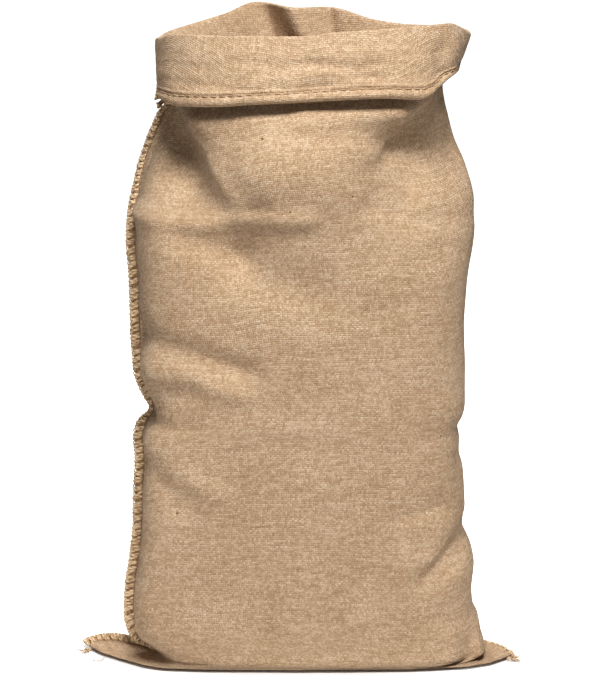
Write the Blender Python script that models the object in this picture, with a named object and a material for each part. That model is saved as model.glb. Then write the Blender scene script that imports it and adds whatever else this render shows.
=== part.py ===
"""Hessian sack, standing open with its mouth turned down as a cuff.

One length of plain jute cloth is folded across at the bottom, overcast up both sides with jute twine and hemmed
at the mouth. The cloth is one hollow solid, and each overcast seam is a solid of its own.

Metres, +Z up. X runs along the bottom fold and the front faces -Y. The origin is on the floor, under the sack.
Run in Blender 4.5: blender --background --python part.py
"""

import math

import bmesh
import bpy
import numpy as np

# --- Sizes of the cloth and its sewing -------------------------------------------------------------------------
CLOTH = 0.002  # thickness of the hessian, with its nap
HEM_THICK = 0.0042  # the hem is the cloth folded on itself
HEM_DEPTH = 0.010  # from the edge up to the row of stitches
HEM_BEAD = 0.0009  # how far the folded edge swells under the stitches
CUFF_SWELL = 0.002  # how far the cuff bows out between the rim and the hem
RIM_GAP = 0.0012  # half the space inside the fold of the rim
RIM_ROUND = 0.003  # how far the top of the rim stands over its sides
SHOULDER = 0.7  # of the rim's half width, where its round top begins
EAR_THICK = 0.0036  # two layers of cloth pressed flat on the floor
FOLD_HEIGHT = 0.0018  # height of the crease along the bottom fold
SKIRT_TOP = 0.010  # where the cloth on the floor has turned up into the wall
FLOOR_INSIDE = 0.0022  # the upper side of the bottom cloth
CORNER_INSIDE = 0.004  # how far the inner floor stops short of the wall's foot
SEAM_BEHIND = 0.046  # the right seam lies this far round the side, towards the back
SEAM_HOLD = 0.03  # share of a panel beside each seam in which the folds die out

STITCH_PITCH = 0.0105  # one turn of the overcasting twine
SEAM_WIDE = 0.0105  # how far an overcast edge stands out from the cloth
SEAM_THICK = 0.0050  # two raw edges with the twine round them
SEAM_GAP = 0.0004  # between the overcast edge and the cloth it closes
SEAM_SIDES = 6
SEAM_WAIST = (0.92, 0.78)  # width and thickness between two turns of the twine, as shares
SEAM_LOWEST = 0.0036  # lowest line of an overcast edge that lies on the floor
SEAM_LIFT = 0.003  # the two panels run out to a low ridge at each seam
SEAM_TURN_UP = 0.018  # the length in which an overcast edge turns from the ear up the wall

# --- How finely the solid is divided ---------------------------------------------------------------------------
PANEL_STEPS = 30  # across the front, and the same across the back
CURVE_STEPS = 40  # points on each quarter of a section, before they are spaced evenly
HEIGHT_RUNS = (  # from, to, how many rows
    (0.016, 0.142, 7),
    (0.165, 0.235, 4),
    (0.250, 0.306, 5),
    (0.330, 0.435, 5),
    (0.452, 0.600, 10),
)
FLOOR_ROWS = (0.0, 0.04, 0.3, 0.6, 0.85, 1.0)  # shares of the way from the bottom fold to the foot of the wall
NECK_ROWS = (0.622, 0.640, 0.660, 0.680, 0.695)
CUFF_INSIDE = (0.0, 0.35, 0.68)  # shares of the way from the rim down to the stitches, on the hidden side
CUFF_OUTSIDE = (0.58, 0.29, 0.0)  # and back up on the side that shows
STITCH_STEP = 0.04  # share of the cuff in which the hem's thickness comes and goes
HEM_TURN = (0.985, 1.02)  # shares of the cuff at which the hem's edge begins to round, and ends

# --- Sections of the sack, from the floor up -------------------------------------------------------------------
# left and right are the outermost x, front and back the outermost y, and left_y and right_y the depth at which the
# sides stand out furthest. full is the exponent of the curve: 2 is an ellipse, and more is squarer.
# Heights over NECK_FOOT are stretched so that RIM_HEIGHT falls on the rim, which isn't level.
NECK_FOOT = 0.62
RIM_HEIGHT = 0.70
SECTION_COLUMNS = ("height", "left", "right", "front", "back", "left_y", "right_y", "full_front", "full_back")
SECTIONS = (
    (0.000, -0.1770, 0.2010, -0.1070, 0.0330, -0.034, -0.034, 2.7, 2.4),
    (0.014, -0.1785, 0.2060, -0.1090, 0.0520, -0.033, -0.030, 2.6, 2.4),
    (0.030, -0.1830, 0.2020, -0.1100, 0.0640, -0.032, -0.026, 2.5, 2.3),
    (0.044, -0.1870, 0.1960, -0.1110, 0.0700, -0.030, -0.024, 2.5, 2.3),
    (0.055, -0.1870, 0.1910, -0.1120, 0.0730, -0.028, -0.022, 2.5, 2.3),
    (0.080, -0.1855, 0.1915, -0.1130, 0.0770, -0.026, -0.018, 2.5, 2.3),
    (0.105, -0.1815, 0.1925, -0.1140, 0.0800, -0.024, -0.015, 2.5, 2.3),
    (0.125, -0.1790, 0.1880, -0.1150, 0.0810, -0.022, -0.012, 2.5, 2.3),
    (0.147, -0.1770, 0.1820, -0.1150, 0.0820, -0.020, -0.010, 2.5, 2.3),
    (0.185, -0.1760, 0.1825, -0.1150, 0.0830, -0.020, -0.008, 2.5, 2.3),
    (0.220, -0.1740, 0.1780, -0.1150, 0.0840, -0.020, -0.006, 2.5, 2.3),
    (0.246, -0.1755, 0.1770, -0.1150, 0.0840, -0.019, -0.005, 2.5, 2.3),
    (0.262, -0.1710, 0.1785, -0.1150, 0.0840, -0.018, -0.004, 2.5, 2.3),
    (0.275, -0.1625, 0.1810, -0.1150, 0.0840, -0.016, -0.003, 2.5, 2.3),
    (0.290, -0.1680, 0.1830, -0.1150, 0.0840, -0.017, -0.002, 2.5, 2.3),
    (0.320, -0.1735, 0.1830, -0.1150, 0.0840, -0.018, 0.000, 2.4, 2.3),
    (0.370, -0.1755, 0.1815, -0.1150, 0.0850, -0.016, 0.000, 2.4, 2.2),
    (0.420, -0.1765, 0.1835, -0.1150, 0.0860, -0.014, 0.000, 2.4, 2.2),
    (0.470, -0.1790, 0.1910, -0.1150, 0.0870, -0.010, 0.000, 2.3, 2.2),
    (0.498, -0.1785, 0.1928, -0.1150, 0.0880, -0.006, 0.000, 2.3, 2.2),
    (0.520, -0.1745, 0.1893, -0.1150, 0.0890, -0.002, 0.000, 2.3, 2.2),
    (0.545, -0.1690, 0.1820, -0.1140, 0.0900, 0.002, 0.002, 2.3, 2.2),
    (0.575, -0.1590, 0.1690, -0.1120, 0.0910, 0.004, 0.004, 2.3, 2.2),
    (0.600, -0.1450, 0.1620, -0.1080, 0.0900, 0.004, 0.004, 2.3, 2.2),
    (0.625, -0.1320, 0.1570, -0.1010, 0.0870, 0.000, 0.002, 2.4, 2.2),
    (0.650, -0.1290, 0.1550, -0.0970, 0.0830, -0.006, 0.000, 2.6, 2.3),
    (0.675, -0.1390, 0.1640, -0.0980, 0.0820, -0.014, 0.000, 2.8, 2.4),
    (0.700, -0.1520, 0.1790, -0.1010, 0.0830, -0.020, 0.000, 3.0, 2.5),
)
# The inner side of the hem's edge has a section of its own, in the same columns. Its height isn't used.
HEM_SECTION = (0.000, -0.1500, 0.1640, -0.1150, 0.0960, -0.020, 0.000, 3.0, 2.4)

# The rim and the hem's edge aren't level: their heights at places along X, on the front and on the back.
LIP_COLUMNS = ("x", "front_rim", "front_hem", "back_rim", "back_hem")
LIP = (
    (-0.152, 0.6860, 0.6235, 0.6860, 0.6235),
    (-0.130, 0.6950, 0.6200, 0.6920, 0.6270),
    (-0.085, 0.6950, 0.6215, 0.7040, 0.6400),
    (-0.048, 0.6950, 0.6245, 0.7160, 0.6480),
    (0.000, 0.6950, 0.6270, 0.7115, 0.6480),
    (0.036, 0.6990, 0.6290, 0.7105, 0.6480),
    (0.086, 0.7020, 0.6310, 0.6970, 0.6430),
    (0.127, 0.7045, 0.6305, 0.6930, 0.6420),
    (0.156, 0.7060, 0.6480, 0.6930, 0.6480),
    (0.183, 0.6910, 0.6600, 0.6910, 0.6600),
)

# The bottom fold on the floor, from the left ear's tip round the front to the right ear's tip.
FOLD_LINE = (
    (-0.2400, -0.0170),
    (-0.2220, -0.0440),
    (-0.2000, -0.0655),
    (-0.1710, -0.0905),
    (-0.1500, -0.1010),
    (-0.1000, -0.1060),
    (0.0000, -0.1075),
    (0.1200, -0.1045),
    (0.1830, -0.0960),
    (0.2100, -0.0825),
    (0.2270, -0.0640),
    (0.2350, -0.0550),
)
LEFT_EAR_BOW = (0.004, 0.026, 0.010)  # how far the seam side of the left ear arches back and up off the floor
RIGHT_EAR_BOW = (0.004, 0.010, 0.002)
BOW_REACH = 0.030  # how far across the ear that arch fades out

# --- Folds, each a soft ridge or trough along a line -----------------------------------------------------------
# depth is outwards, and places are x and height as seen from the front.
FOLD_COLUMNS = ("panel", "depth", "width", "places")
FOLDS = (
    ("front", -0.0170, 0.024, ((-0.150, 0.606), (-0.140, 0.570), (-0.124, 0.535))),  # drawn in beside the seam
    ("front", 0.0060, 0.014, ((-0.126, 0.612), (-0.110, 0.572), (-0.090, 0.540), (-0.066, 0.510))),
    ("front", 0.0060, 0.070, ((-0.030, 0.565), (0.060, 0.570))),  # the front swells under the cuff
    ("front", -0.0140, 0.026, ((0.108, 0.588), (0.140, 0.588))),  # dent under the right of the cuff
    ("front", -0.0045, 0.012, ((0.085, 0.580), (0.116, 0.526))),
    ("front", 0.0060, 0.011, ((-0.178, 0.497), (-0.110, 0.496), (-0.030, 0.500), (0.010, 0.502))),
    ("front", -0.0070, 0.014, ((-0.118, 0.482), (-0.060, 0.474), (0.010, 0.472))),
    ("front", -0.0030, 0.012, ((0.075, 0.516), (0.125, 0.496), (0.185, 0.497))),
    ("front", -0.0075, 0.015, ((-0.175, 0.370), (-0.110, 0.352), (-0.060, 0.334))),
    ("front", 0.0060, 0.015, ((-0.160, 0.332), (-0.120, 0.328), (-0.070, 0.316))),
    ("front", -0.0070, 0.013, ((-0.165, 0.280), (-0.140, 0.300), (-0.120, 0.316))),
    ("front", -0.0060, 0.014, ((-0.168, 0.232), (-0.145, 0.212), (-0.128, 0.190))),
    ("front", 0.0045, 0.014, ((-0.135, 0.226), (-0.095, 0.204))),
    ("front", -0.0045, 0.011, ((0.172, 0.262), (0.178, 0.232))),
    ("front", -0.0040, 0.011, ((0.105, 0.174), (0.155, 0.184))),
    ("front", -0.0100, 0.015, ((0.186, 0.152), (0.165, 0.128), (0.132, 0.094))),
    ("front", 0.0040, 0.016, ((0.180, 0.118), (0.160, 0.090))),
    ("front", -0.0090, 0.012, ((0.208, 0.058), (0.206, 0.016))),
    ("back", 0.0120, 0.016, ((-0.048, 0.720), (-0.030, 0.690), (0.000, 0.640))),  # pleats inside the mouth
    ("back", -0.0130, 0.018, ((-0.010, 0.720), (0.004, 0.680), (0.030, 0.620))),
    ("back", 0.0060, 0.014, ((0.030, 0.716), (0.038, 0.670), (0.060, 0.600))),
    ("back", -0.0080, 0.026, ((-0.120, 0.610), (-0.070, 0.540))),
    ("back", 0.0060, 0.016, ((-0.130, 0.470), (-0.020, 0.490), (0.070, 0.480))),
    ("back", -0.0070, 0.018, ((-0.150, 0.420), (-0.040, 0.440))),
    ("back", -0.0080, 0.020, ((0.150, 0.560), (0.080, 0.520))),
    ("back", -0.0070, 0.018, ((0.160, 0.300), (0.060, 0.260))),
    ("back", 0.0050, 0.018, ((0.100, 0.330), (0.000, 0.310))),
    ("back", -0.0070, 0.018, ((-0.160, 0.200), (-0.060, 0.160))),
    ("back", -0.0060, 0.020, ((0.150, 0.110), (0.040, 0.080))),
)

# Which way an overcast edge points, as a turn from straight out sideways (0) to straight back (90).
SEAM_TURN_COLUMNS = ("height", "left", "right")
SEAM_TURN = (
    (0.000, 40.0, 88.0),
    (0.030, 20.0, 88.0),
    (0.120, 10.0, 88.0),
    (0.250, 12.0, 88.0),
    (0.275, 45.0, 88.0),
    (0.300, 12.0, 88.0),
    (0.460, 15.0, 88.0),
    (0.520, 35.0, 88.0),
    (0.620, 55.0, 88.0),
)
# On an ear the overcast edge points back, then stands up where it turns into the wall: inwards, back and up, at
# shares of the way from the ear's tip.
EAR_SEAM_SHARES = (0.0, 0.5, 1.0)
EAR_SEAM_OUT = ((0.0, 1.0, 0.0), (0.2, 0.9, 0.2), (-0.5, 0.2, 0.8))
SEAM_TOP_ROW = 0.622  # the overcasting goes out of sight under the cuff


def smooth(xs, ys, at):
    """Values at the places asked for, on a curve through the points that never overshoots them."""
    xs, ys, at = (np.asarray(values, float) for values in (xs, ys, at))
    slopes = np.diff(ys) / np.diff(xs)
    same_way = slopes[1:] * slopes[:-1] > 0
    total = np.where(same_way, slopes[1:] + slopes[:-1], 1.0)
    inner = np.where(same_way, 2 * slopes[1:] * slopes[:-1] / total, 0.0)
    tangents = np.concatenate([slopes[:1], inner, slopes[-1:]])
    at = np.clip(at, xs[0], xs[-1])
    k = np.clip(np.searchsorted(xs, at, side="right") - 1, 0, len(xs) - 2)
    span = xs[k + 1] - xs[k]
    t = (at - xs[k]) / span
    start = ys[k] * (1 + 2 * t) * (1 - t) ** 2 + tangents[k] * span * t * (1 - t) ** 2
    end = ys[k + 1] * t * t * (3 - 2 * t) + tangents[k + 1] * span * t * t * (t - 1)
    return start + end


def column(table, columns, name):
    return [row[columns.index(name)] for row in table]


def along(points, count):
    """The line resampled to so many equal steps."""
    points = np.asarray(points, float)
    steps = np.linalg.norm(np.diff(points, axis=0), axis=1)
    length = np.concatenate([[0.0], np.cumsum(steps)])
    wanted = np.linspace(0.0, length[-1], count + 1)
    return np.stack([np.interp(wanted, length, points[:, k]) for k in range(points.shape[1])], axis=1)


def section(values):
    """Even stations round one section: the left seam, the front, the right seam, then the back."""
    side = dict(zip(SECTION_COLUMNS, values))
    turn = np.linspace(0.0, math.pi / 2, CURVE_STEPS + 1)

    def quarter(side_x, side_y, end_y, full):
        x = side_x * np.maximum(np.cos(turn), 0.0) ** (2 / full)
        y = side_y + (end_y - side_y) * np.sin(turn) ** (2 / full)
        return np.stack([x, y], axis=1)

    front_left = quarter(side["left"], side["left_y"], side["front"], side["full_front"])
    front_right = quarter(side["right"], side["right_y"], side["front"], side["full_front"])[::-1]
    back_right = quarter(side["right"], side["right_y"], side["back"], side["full_back"])
    back_left = quarter(side["left"], side["left_y"], side["back"], side["full_back"])[::-1]
    round_back = np.concatenate([back_right, back_left[1:]])
    reach = np.concatenate([[0.0], np.cumsum(np.linalg.norm(np.diff(round_back, axis=0), axis=1))])
    seam = np.array([np.interp(SEAM_BEHIND, reach, round_back[:, k]) for k in (0, 1)])
    to_seam = np.concatenate([round_back[reach < SEAM_BEHIND], [seam]])
    from_seam = np.concatenate([[seam], round_back[reach > SEAM_BEHIND]])
    front = along(np.concatenate([front_left, front_right[1:], to_seam[1:]]), PANEL_STEPS)
    back = along(from_seam, PANEL_STEPS)
    return np.concatenate([front[:-1], back[:-1]])


def normals(ring):
    """Level directions out of a ring of stations."""
    across = np.roll(ring, -1, axis=0) - np.roll(ring, 1, axis=0)
    out = np.stack([across[:, 1], -across[:, 0]], axis=1)
    out /= np.linalg.norm(out, axis=1, keepdims=True)
    return out * np.sign(np.sum(out * (ring - ring.mean(axis=0))))


def fold_depth(stations, heights):
    """How far each station stands out of its section, from the table of folds."""
    total = np.zeros(len(stations))
    on_front = np.arange(len(stations)) <= PANEL_STEPS
    for row in FOLDS:
        fold = dict(zip(FOLD_COLUMNS, row))
        nearest = np.full(len(stations), np.inf)
        spots = np.stack([stations[:, 0], heights], axis=1)
        for start, end in zip(fold["places"], fold["places"][1:]):
            start, end = np.array(start), np.array(end)
            share = np.clip((spots - start) @ (end - start) / ((end - start) @ (end - start)), 0.0, 1.0)
            nearest = np.minimum(nearest, np.linalg.norm(spots - start - share[:, None] * (end - start), axis=1))
        here = on_front if fold["panel"] == "front" else ~on_front
        total += np.where(here, fold["depth"] * np.exp(-((nearest / fold["width"]) ** 2)), 0.0)
    return total * seam_hold()


def seam_hold():
    """Folds die out at the two seams, so that both panels still meet there."""
    station = np.arange(2 * PANEL_STEPS)
    from_seam = np.minimum(station % PANEL_STEPS, (-station) % PANEL_STEPS)
    return 1.0 - np.exp(-((from_seam / (PANEL_STEPS * SEAM_HOLD)) ** 2))


def level(height):
    """Stations of the wall's outer face at one height, with its folds, and their directions out."""
    heights = column(SECTIONS, SECTION_COLUMNS, "height")
    values = [float(smooth(heights, column(SECTIONS, SECTION_COLUMNS, name), height)) for name in SECTION_COLUMNS]
    values[SECTION_COLUMNS.index("left")] += SEAM_LIFT  # left is the crest of the seam
    ring = section(values)
    out = normals(ring)
    z = np.full(len(ring), float(height))
    if height > NECK_FOOT:
        share = (height - NECK_FOOT) / (RIM_HEIGHT - NECK_FOOT)
        z = NECK_FOOT + share * (lip_heights(ring, "rim") - NECK_FOOT)
    ring = ring + out * fold_depth(ring, z)[:, None]
    for station in (0, PANEL_STEPS):
        ring[station] += out[station] * SEAM_LIFT
    return ring, out, z


def lip_heights(ring, edge):
    xs = column(LIP, LIP_COLUMNS, "x")
    front = smooth(xs, column(LIP, LIP_COLUMNS, "front_" + edge), ring[:, 0])
    back = smooth(xs, column(LIP, LIP_COLUMNS, "back_" + edge), ring[:, 0])
    depth = smooth((-0.05, 0.05), (0.0, 1.0), ring[:, 1])
    return front + (back - front) * depth


def points(ring, z):
    """The stations of a ring as points in space, at one height or each at its own."""
    return np.column_stack([ring, np.broadcast_to(z, len(ring))])


def floor_rows():
    """The bottom fold, and the cloth that lies on the floor between it and the foot of the wall."""
    foot, _, _ = level(0.0)
    fold = along(FOLD_LINE, PANEL_STEPS)
    fold = np.concatenate([fold, fold[-2:0:-1]])
    station = np.arange(2 * PANEL_STEPS)
    on_back = station > PANEL_STEPS
    step = np.linalg.norm(foot[1] - foot[0])
    from_left = np.minimum(station, 2 * PANEL_STEPS - station) * step
    from_right = np.abs(station - PANEL_STEPS) * step
    rows = []
    for share in FLOOR_ROWS:
        ring = points(fold + (foot - fold) * share, 0.0)
        top = FOLD_HEIGHT + (EAR_THICK - FOLD_HEIGHT) * min(1.0, share / FLOOR_ROWS[1])
        ring[:, 2] = np.where(on_back & (share > 0), 0.0, top + (SKIRT_TOP - EAR_THICK) * share**4)
        for reach, bow in ((from_left, LEFT_EAR_BOW), (from_right, RIGHT_EAR_BOW)):
            fade = np.exp(-((reach / BOW_REACH) ** 2)) * math.sin(math.pi * share)
            ring += np.where(on_back, 0.0, fade)[:, None] * np.array(bow)
        rows.append(ring)
    return rows


def wall_rows():
    heights = [z for start, end, count in HEIGHT_RUNS for z in np.linspace(start, end, count)]
    return [*heights, *NECK_ROWS]


def cuff_rows():
    """The turned-down cloth, from the top of the space behind it, down inside, round the hem and up outside."""
    rim, out, rim_z = level(RIM_HEIGHT)
    side_z = rim_z - RIM_ROUND
    hem = section(HEM_SECTION)
    hem_z = lip_heights(hem, "hem")
    hem_out = normals(hem)
    start = rim + out * 2 * RIM_GAP

    def at(share, offset):
        """The cuff's inner face at a share of the way to the hem's edge, moved outwards by offset."""
        away = offset + CUFF_SWELL * math.sin(math.pi * share)
        ring = start + (hem - start) * share + (out + (hem_out - out) * share) * away
        return points(ring, side_z + (hem_z - side_z) * share)

    def over(across, rise):
        """The rim's round top: across from its middle, outwards, and up from its sides."""
        return points(middle + out * across, side_z + rise)

    drop = float(np.mean(side_z - hem_z))
    stitch, bead = 1.0 - HEM_DEPTH / drop, 1.0 - 0.5 * HEM_DEPTH / drop
    edge, end = HEM_TURN
    hem_inner = CLOTH - HEM_THICK
    middle = rim + out * RIM_GAP
    half = (RIM_GAP + CLOTH) * SHOULDER
    rows = [over(0.0, RIM_GAP)]
    rows += [at(share, 0.0) for share in (*CUFF_INSIDE, stitch - STITCH_STEP)]
    rows += [at(stitch, hem_inner), at(edge, hem_inner), at(end, hem_inner + HEM_THICK / 2)]
    rows += [at(edge, CLOTH), at(bead, CLOTH + HEM_BEAD), at(stitch, CLOTH)]
    rows += [at(share, CLOTH) for share in (stitch - STITCH_STEP, *CUFF_OUTSIDE)]
    rows += [over(half, RIM_ROUND * SHOULDER), over(0.0, RIM_ROUND), over(-half, RIM_ROUND * SHOULDER)]
    return rows


def cloth_rows():
    """Every row of the cloth's surface: up the outside, over the rim, round the cuff, and down the inside."""
    outside, inside = [], []
    for height in wall_rows():
        ring, out, z = level(height)
        outside.append(points(ring, z))
        inside.append(points(ring - out * CLOTH, z))
    ring, out, _ = level(wall_rows()[0])
    bottom = points(ring - out * (CLOTH + CORNER_INSIDE), FLOOR_INSIDE)
    return floor_rows() + outside + cuff_rows() + inside[::-1] + [bottom]


def make_mesh(name, verts, faces):
    mesh = bpy.data.meshes.new(name)
    mesh.from_pydata([tuple(map(float, vert)) for vert in verts], [], faces)
    obj = bpy.data.objects.new(name, mesh)
    work = bmesh.new()
    work.from_mesh(mesh)
    bmesh.ops.recalc_face_normals(work, faces=work.faces)
    work.to_mesh(mesh)
    work.free()
    mesh.shade_smooth()
    mesh.set_sharp_from_angle(angle=math.radians(50))
    return obj


def loft(rows, count):
    """Quads between each row of stations and the next."""
    faces = []
    for k in range(rows - 1):
        for i in range(count):
            j = (i + 1) % count
            faces.append((k * count + i, k * count + j, (k + 1) * count + j, (k + 1) * count + i))
    return faces


def make_cloth():
    """The bottom fold is one line of points that the front and the back panel share."""
    rows = cloth_rows()
    count = 2 * PANEL_STEPS
    verts = np.concatenate(rows)
    shared = {count - i: i for i in range(1, PANEL_STEPS)}
    faces = [tuple(shared.get(v, v) for v in face) for face in loft(len(rows), count)]
    faces.append(tuple(range((len(rows) - 1) * count, len(rows) * count)))
    return make_mesh("sack_cloth", verts, faces)


def seam_route(station):
    """The line of a seam, from the ear's tip to under the cuff."""
    rows = [row[station] for row in floor_rows()]
    for height in wall_rows():
        if height <= SEAM_TOP_ROW:
            ring, _, z = level(height)
            rows.append(np.append(ring[station], z[station]))
    return np.array(rows)


def seam_directions(route, side):
    """Which way the overcast edge stands out at each point of its route, square to the route."""
    sign = -1.0 if side == "left" else 1.0
    heights = column(SEAM_TURN, SEAM_TURN_COLUMNS, "height")
    turn = np.radians(smooth(heights, column(SEAM_TURN, SEAM_TURN_COLUMNS, side), route[:, 2]))
    on_wall = np.column_stack([sign * np.cos(turn), np.sin(turn), np.zeros(len(route))])
    gone = np.linspace(0.0, len_of(route), len(route))
    ear = len_of(np.array([row[0 if side == "left" else PANEL_STEPS] for row in floor_rows()]))
    share = np.clip(gone / ear, 0.0, 1.0)
    flat = [smooth(EAR_SEAM_SHARES, values, share) for values in zip(*EAR_SEAM_OUT)]
    on_ear = np.column_stack([-sign * flat[0], flat[1], flat[2]])
    risen = smooth((0.0, 1.0), (0.0, 1.0), (gone - ear) / SEAM_TURN_UP)[:, None]
    out = on_ear * (1 - risen) + on_wall * risen
    way = np.gradient(route, axis=0)
    way /= np.linalg.norm(way, axis=1, keepdims=True)
    out -= way * np.sum(out * way, axis=1, keepdims=True)
    return way, out / np.linalg.norm(out, axis=1, keepdims=True)


def make_seam(name, station, side):
    """An overcast edge: a flattened rope, thick where the twine goes round and thin between the turns."""
    route = seam_route(station)
    fine = along(route, round(len_of(route) / (STITCH_PITCH / 2)))
    verts = []
    for k, (spot, way, out) in enumerate(zip(fine, *seam_directions(fine, side))):
        flat = np.cross(way, out)
        spread, swell = (1.0, 1.0) if k % 2 else SEAM_WAIST
        middle = spot + out * (SEAM_GAP + SEAM_WIDE / 2)
        middle[2] = max(middle[2], SEAM_LOWEST)
        for corner in range(SEAM_SIDES):
            angle = 2 * math.pi * (corner + 0.5) / SEAM_SIDES
            across, up = SEAM_WIDE / 2 * spread * math.cos(angle), SEAM_THICK / 2 * swell * math.sin(angle)
            verts.append(middle + out * across + flat * up)
    faces = loft(len(fine), SEAM_SIDES)
    faces.append(tuple(range(SEAM_SIDES)))
    faces.append(tuple(range((len(fine) - 1) * SEAM_SIDES, len(fine) * SEAM_SIDES)))
    return make_mesh(name, verts, faces)


def len_of(route):
    return float(np.sum(np.linalg.norm(np.diff(route, axis=0), axis=1)))


def make_material(name, colour, roughness):
    material = bpy.data.materials.new(name)
    material.use_nodes = True
    shader = material.node_tree.nodes["Principled BSDF"]
    shader.inputs["Base Color"].default_value = (*colour, 1.0)
    shader.inputs["Roughness"].default_value = roughness
    shader.inputs["Metallic"].default_value = 0.0
    return material


def main():
    for obj in list(bpy.data.objects):
        bpy.data.objects.remove(obj, do_unlink=True)
    sack = bpy.data.collections.new("hessian_sack")
    bpy.context.scene.collection.children.link(sack)
    hessian = make_material("hessian", (0.50, 0.34, 0.20), 0.95)
    twine = make_material("jute_twine", (0.38, 0.25, 0.14), 0.95)
    pieces = (
        (make_cloth(), hessian),
        (make_seam("overcast_seam_left", 0, "left"), twine),
        (make_seam("overcast_seam_right", PANEL_STEPS, "right"), twine),
    )
    for piece, material in pieces:
        piece.data.materials.append(material)
        sack.objects.link(piece)


main()
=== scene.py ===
# %% [markdown]
# # An open hessian sack
# A hessian sack is one length of coarse jute cloth. It is folded across the middle to make the bottom, its
# raw sides are overcast with jute twine, and its mouth is hemmed. This one stands open on the floor with
# the mouth turned down as a cuff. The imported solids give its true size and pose, and this script gives it
# its looks: a thin woven sheet, twisted twine, sewing and loose fibres.

# %% Load the solids
import math

import bmesh
import bpy
import numpy as np
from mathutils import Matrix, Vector, noise


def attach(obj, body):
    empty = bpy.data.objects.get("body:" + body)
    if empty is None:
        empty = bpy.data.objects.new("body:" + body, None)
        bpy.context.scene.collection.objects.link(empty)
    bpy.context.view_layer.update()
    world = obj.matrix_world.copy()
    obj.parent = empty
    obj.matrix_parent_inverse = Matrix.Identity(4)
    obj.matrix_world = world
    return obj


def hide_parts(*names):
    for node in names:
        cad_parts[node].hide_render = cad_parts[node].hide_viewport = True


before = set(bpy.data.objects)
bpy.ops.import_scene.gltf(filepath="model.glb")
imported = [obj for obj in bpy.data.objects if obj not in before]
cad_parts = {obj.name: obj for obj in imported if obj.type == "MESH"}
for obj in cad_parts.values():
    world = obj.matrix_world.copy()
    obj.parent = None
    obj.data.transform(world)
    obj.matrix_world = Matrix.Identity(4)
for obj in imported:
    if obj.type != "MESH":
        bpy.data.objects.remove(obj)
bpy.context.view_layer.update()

# %% [markdown]
# ## Camera, light and floor
# The camera comes first, so that every later step can be judged in the same view. A long lens three metres
# off keeps the sides of the sack upright. It looks down a little, enough to see into the mouth. The light
# is a pale room with one wide soft lamp high in front, because cloth shows its weave and its folds only
# when the light comes across it, and the light floor throws some of it back at the foot of the sack.

# %% Place the camera
CAMERA_PLACE = (0.0, -3.0, 0.95)
CAMERA_DOWN = math.radians(11.3205)
FOCAL_PIXELS = 2764.43
PICTURE_TALL = 682
SENSOR = 36.0


def add_object(name, data):
    made = bpy.data.objects.new(name, data)
    bpy.context.scene.collection.objects.link(made)
    return made


lens = bpy.data.cameras.new("camera")
lens.sensor_width = SENSOR
lens.lens = FOCAL_PIXELS * SENSOR / PICTURE_TALL
camera = add_object("camera", lens)
camera.location = CAMERA_PLACE
camera.rotation_euler = (math.pi / 2 - CAMERA_DOWN, 0.0, 0.0)
bpy.context.scene.camera = camera
print("lens:", round(lens.lens, 1), "mm")

# %% Light the room
ROOM_LIGHT = 0.13
LAMPS = (  # name, place, the point it faces, wide, tall, watts
    ("high_softbox", (0.20, -1.32, 2.20), (0.0, 0.0, 0.35), 1.0, 0.46, 58.0),
    ("front_fill", (-0.4, -3.0, 0.4), (0.0, 0.0, 0.15), 1.4, 0.6, 5.5),
    ("back_softbox", (-0.40, 1.90, 1.70), (0.0, 0.0, 0.35), 1.8, 0.6, 34.0),
)


def add_lamp(name, place, faces, wide, tall, watts):
    lamp = bpy.data.lights.new(name, "AREA")
    lamp.shape = "RECTANGLE"
    lamp.size, lamp.size_y = wide, tall
    lamp.energy = watts
    holder = add_object(name, lamp)
    holder.location = place
    holder.rotation_euler = (Vector(faces) - Vector(place)).to_track_quat("-Z", "Y").to_euler()


room = bpy.data.worlds.new("room")
room.use_nodes = True
sky = room.node_tree.nodes["Background"].inputs
sky["Color"].default_value = (1.0, 1.0, 1.0, 1.0)
sky["Strength"].default_value = ROOM_LIGHT
bpy.context.scene.world = room
bpy.context.scene.view_settings.view_transform = "Standard"
bpy.context.scene.view_settings.look = "Medium High Contrast"
for lamp_row in LAMPS:
    add_lamp(*lamp_row)
print("lamps:", [lamp_row[0] for lamp_row in LAMPS])

# %% [markdown]
# ## Shader sums as plain expressions
# A procedural finish is a lot of small sums on sockets. Wiring each Math node by hand hides the idea, so a
# small class wraps a socket and lets Python's own signs add the nodes: `1 - mask * 2` builds two Math
# nodes. The same class serves the Geometry Nodes further down.

# %% Wrap the sockets
class Value:
    """A socket that can stand in a sum. Each sign adds its Math node to the same tree."""

    def __init__(self, board, node, output):
        self.board, self.node, self.socket = board, node, node.outputs[output]

    def output(self, name):
        return Value(self.board, self.node, name)

    def maths(self, operation, *others):
        return self.board.add("ShaderNodeMath", [self, *others], operation=operation)

    def __add__(self, other):
        return self.maths("ADD", other)

    __radd__ = __add__

    def __mul__(self, other):
        return self.maths("MULTIPLY", other)

    def __sub__(self, other):
        return self.maths("SUBTRACT", other)

    def __rsub__(self, other):
        return self.board.add("ShaderNodeMath", [other, self], operation="SUBTRACT")

    def __truediv__(self, other):
        return self.maths("DIVIDE", other)

    def __gt__(self, other):
        return self.maths("GREATER_THAN", other)

    def __lt__(self, other):
        return self.maths("LESS_THAN", other)


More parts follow.
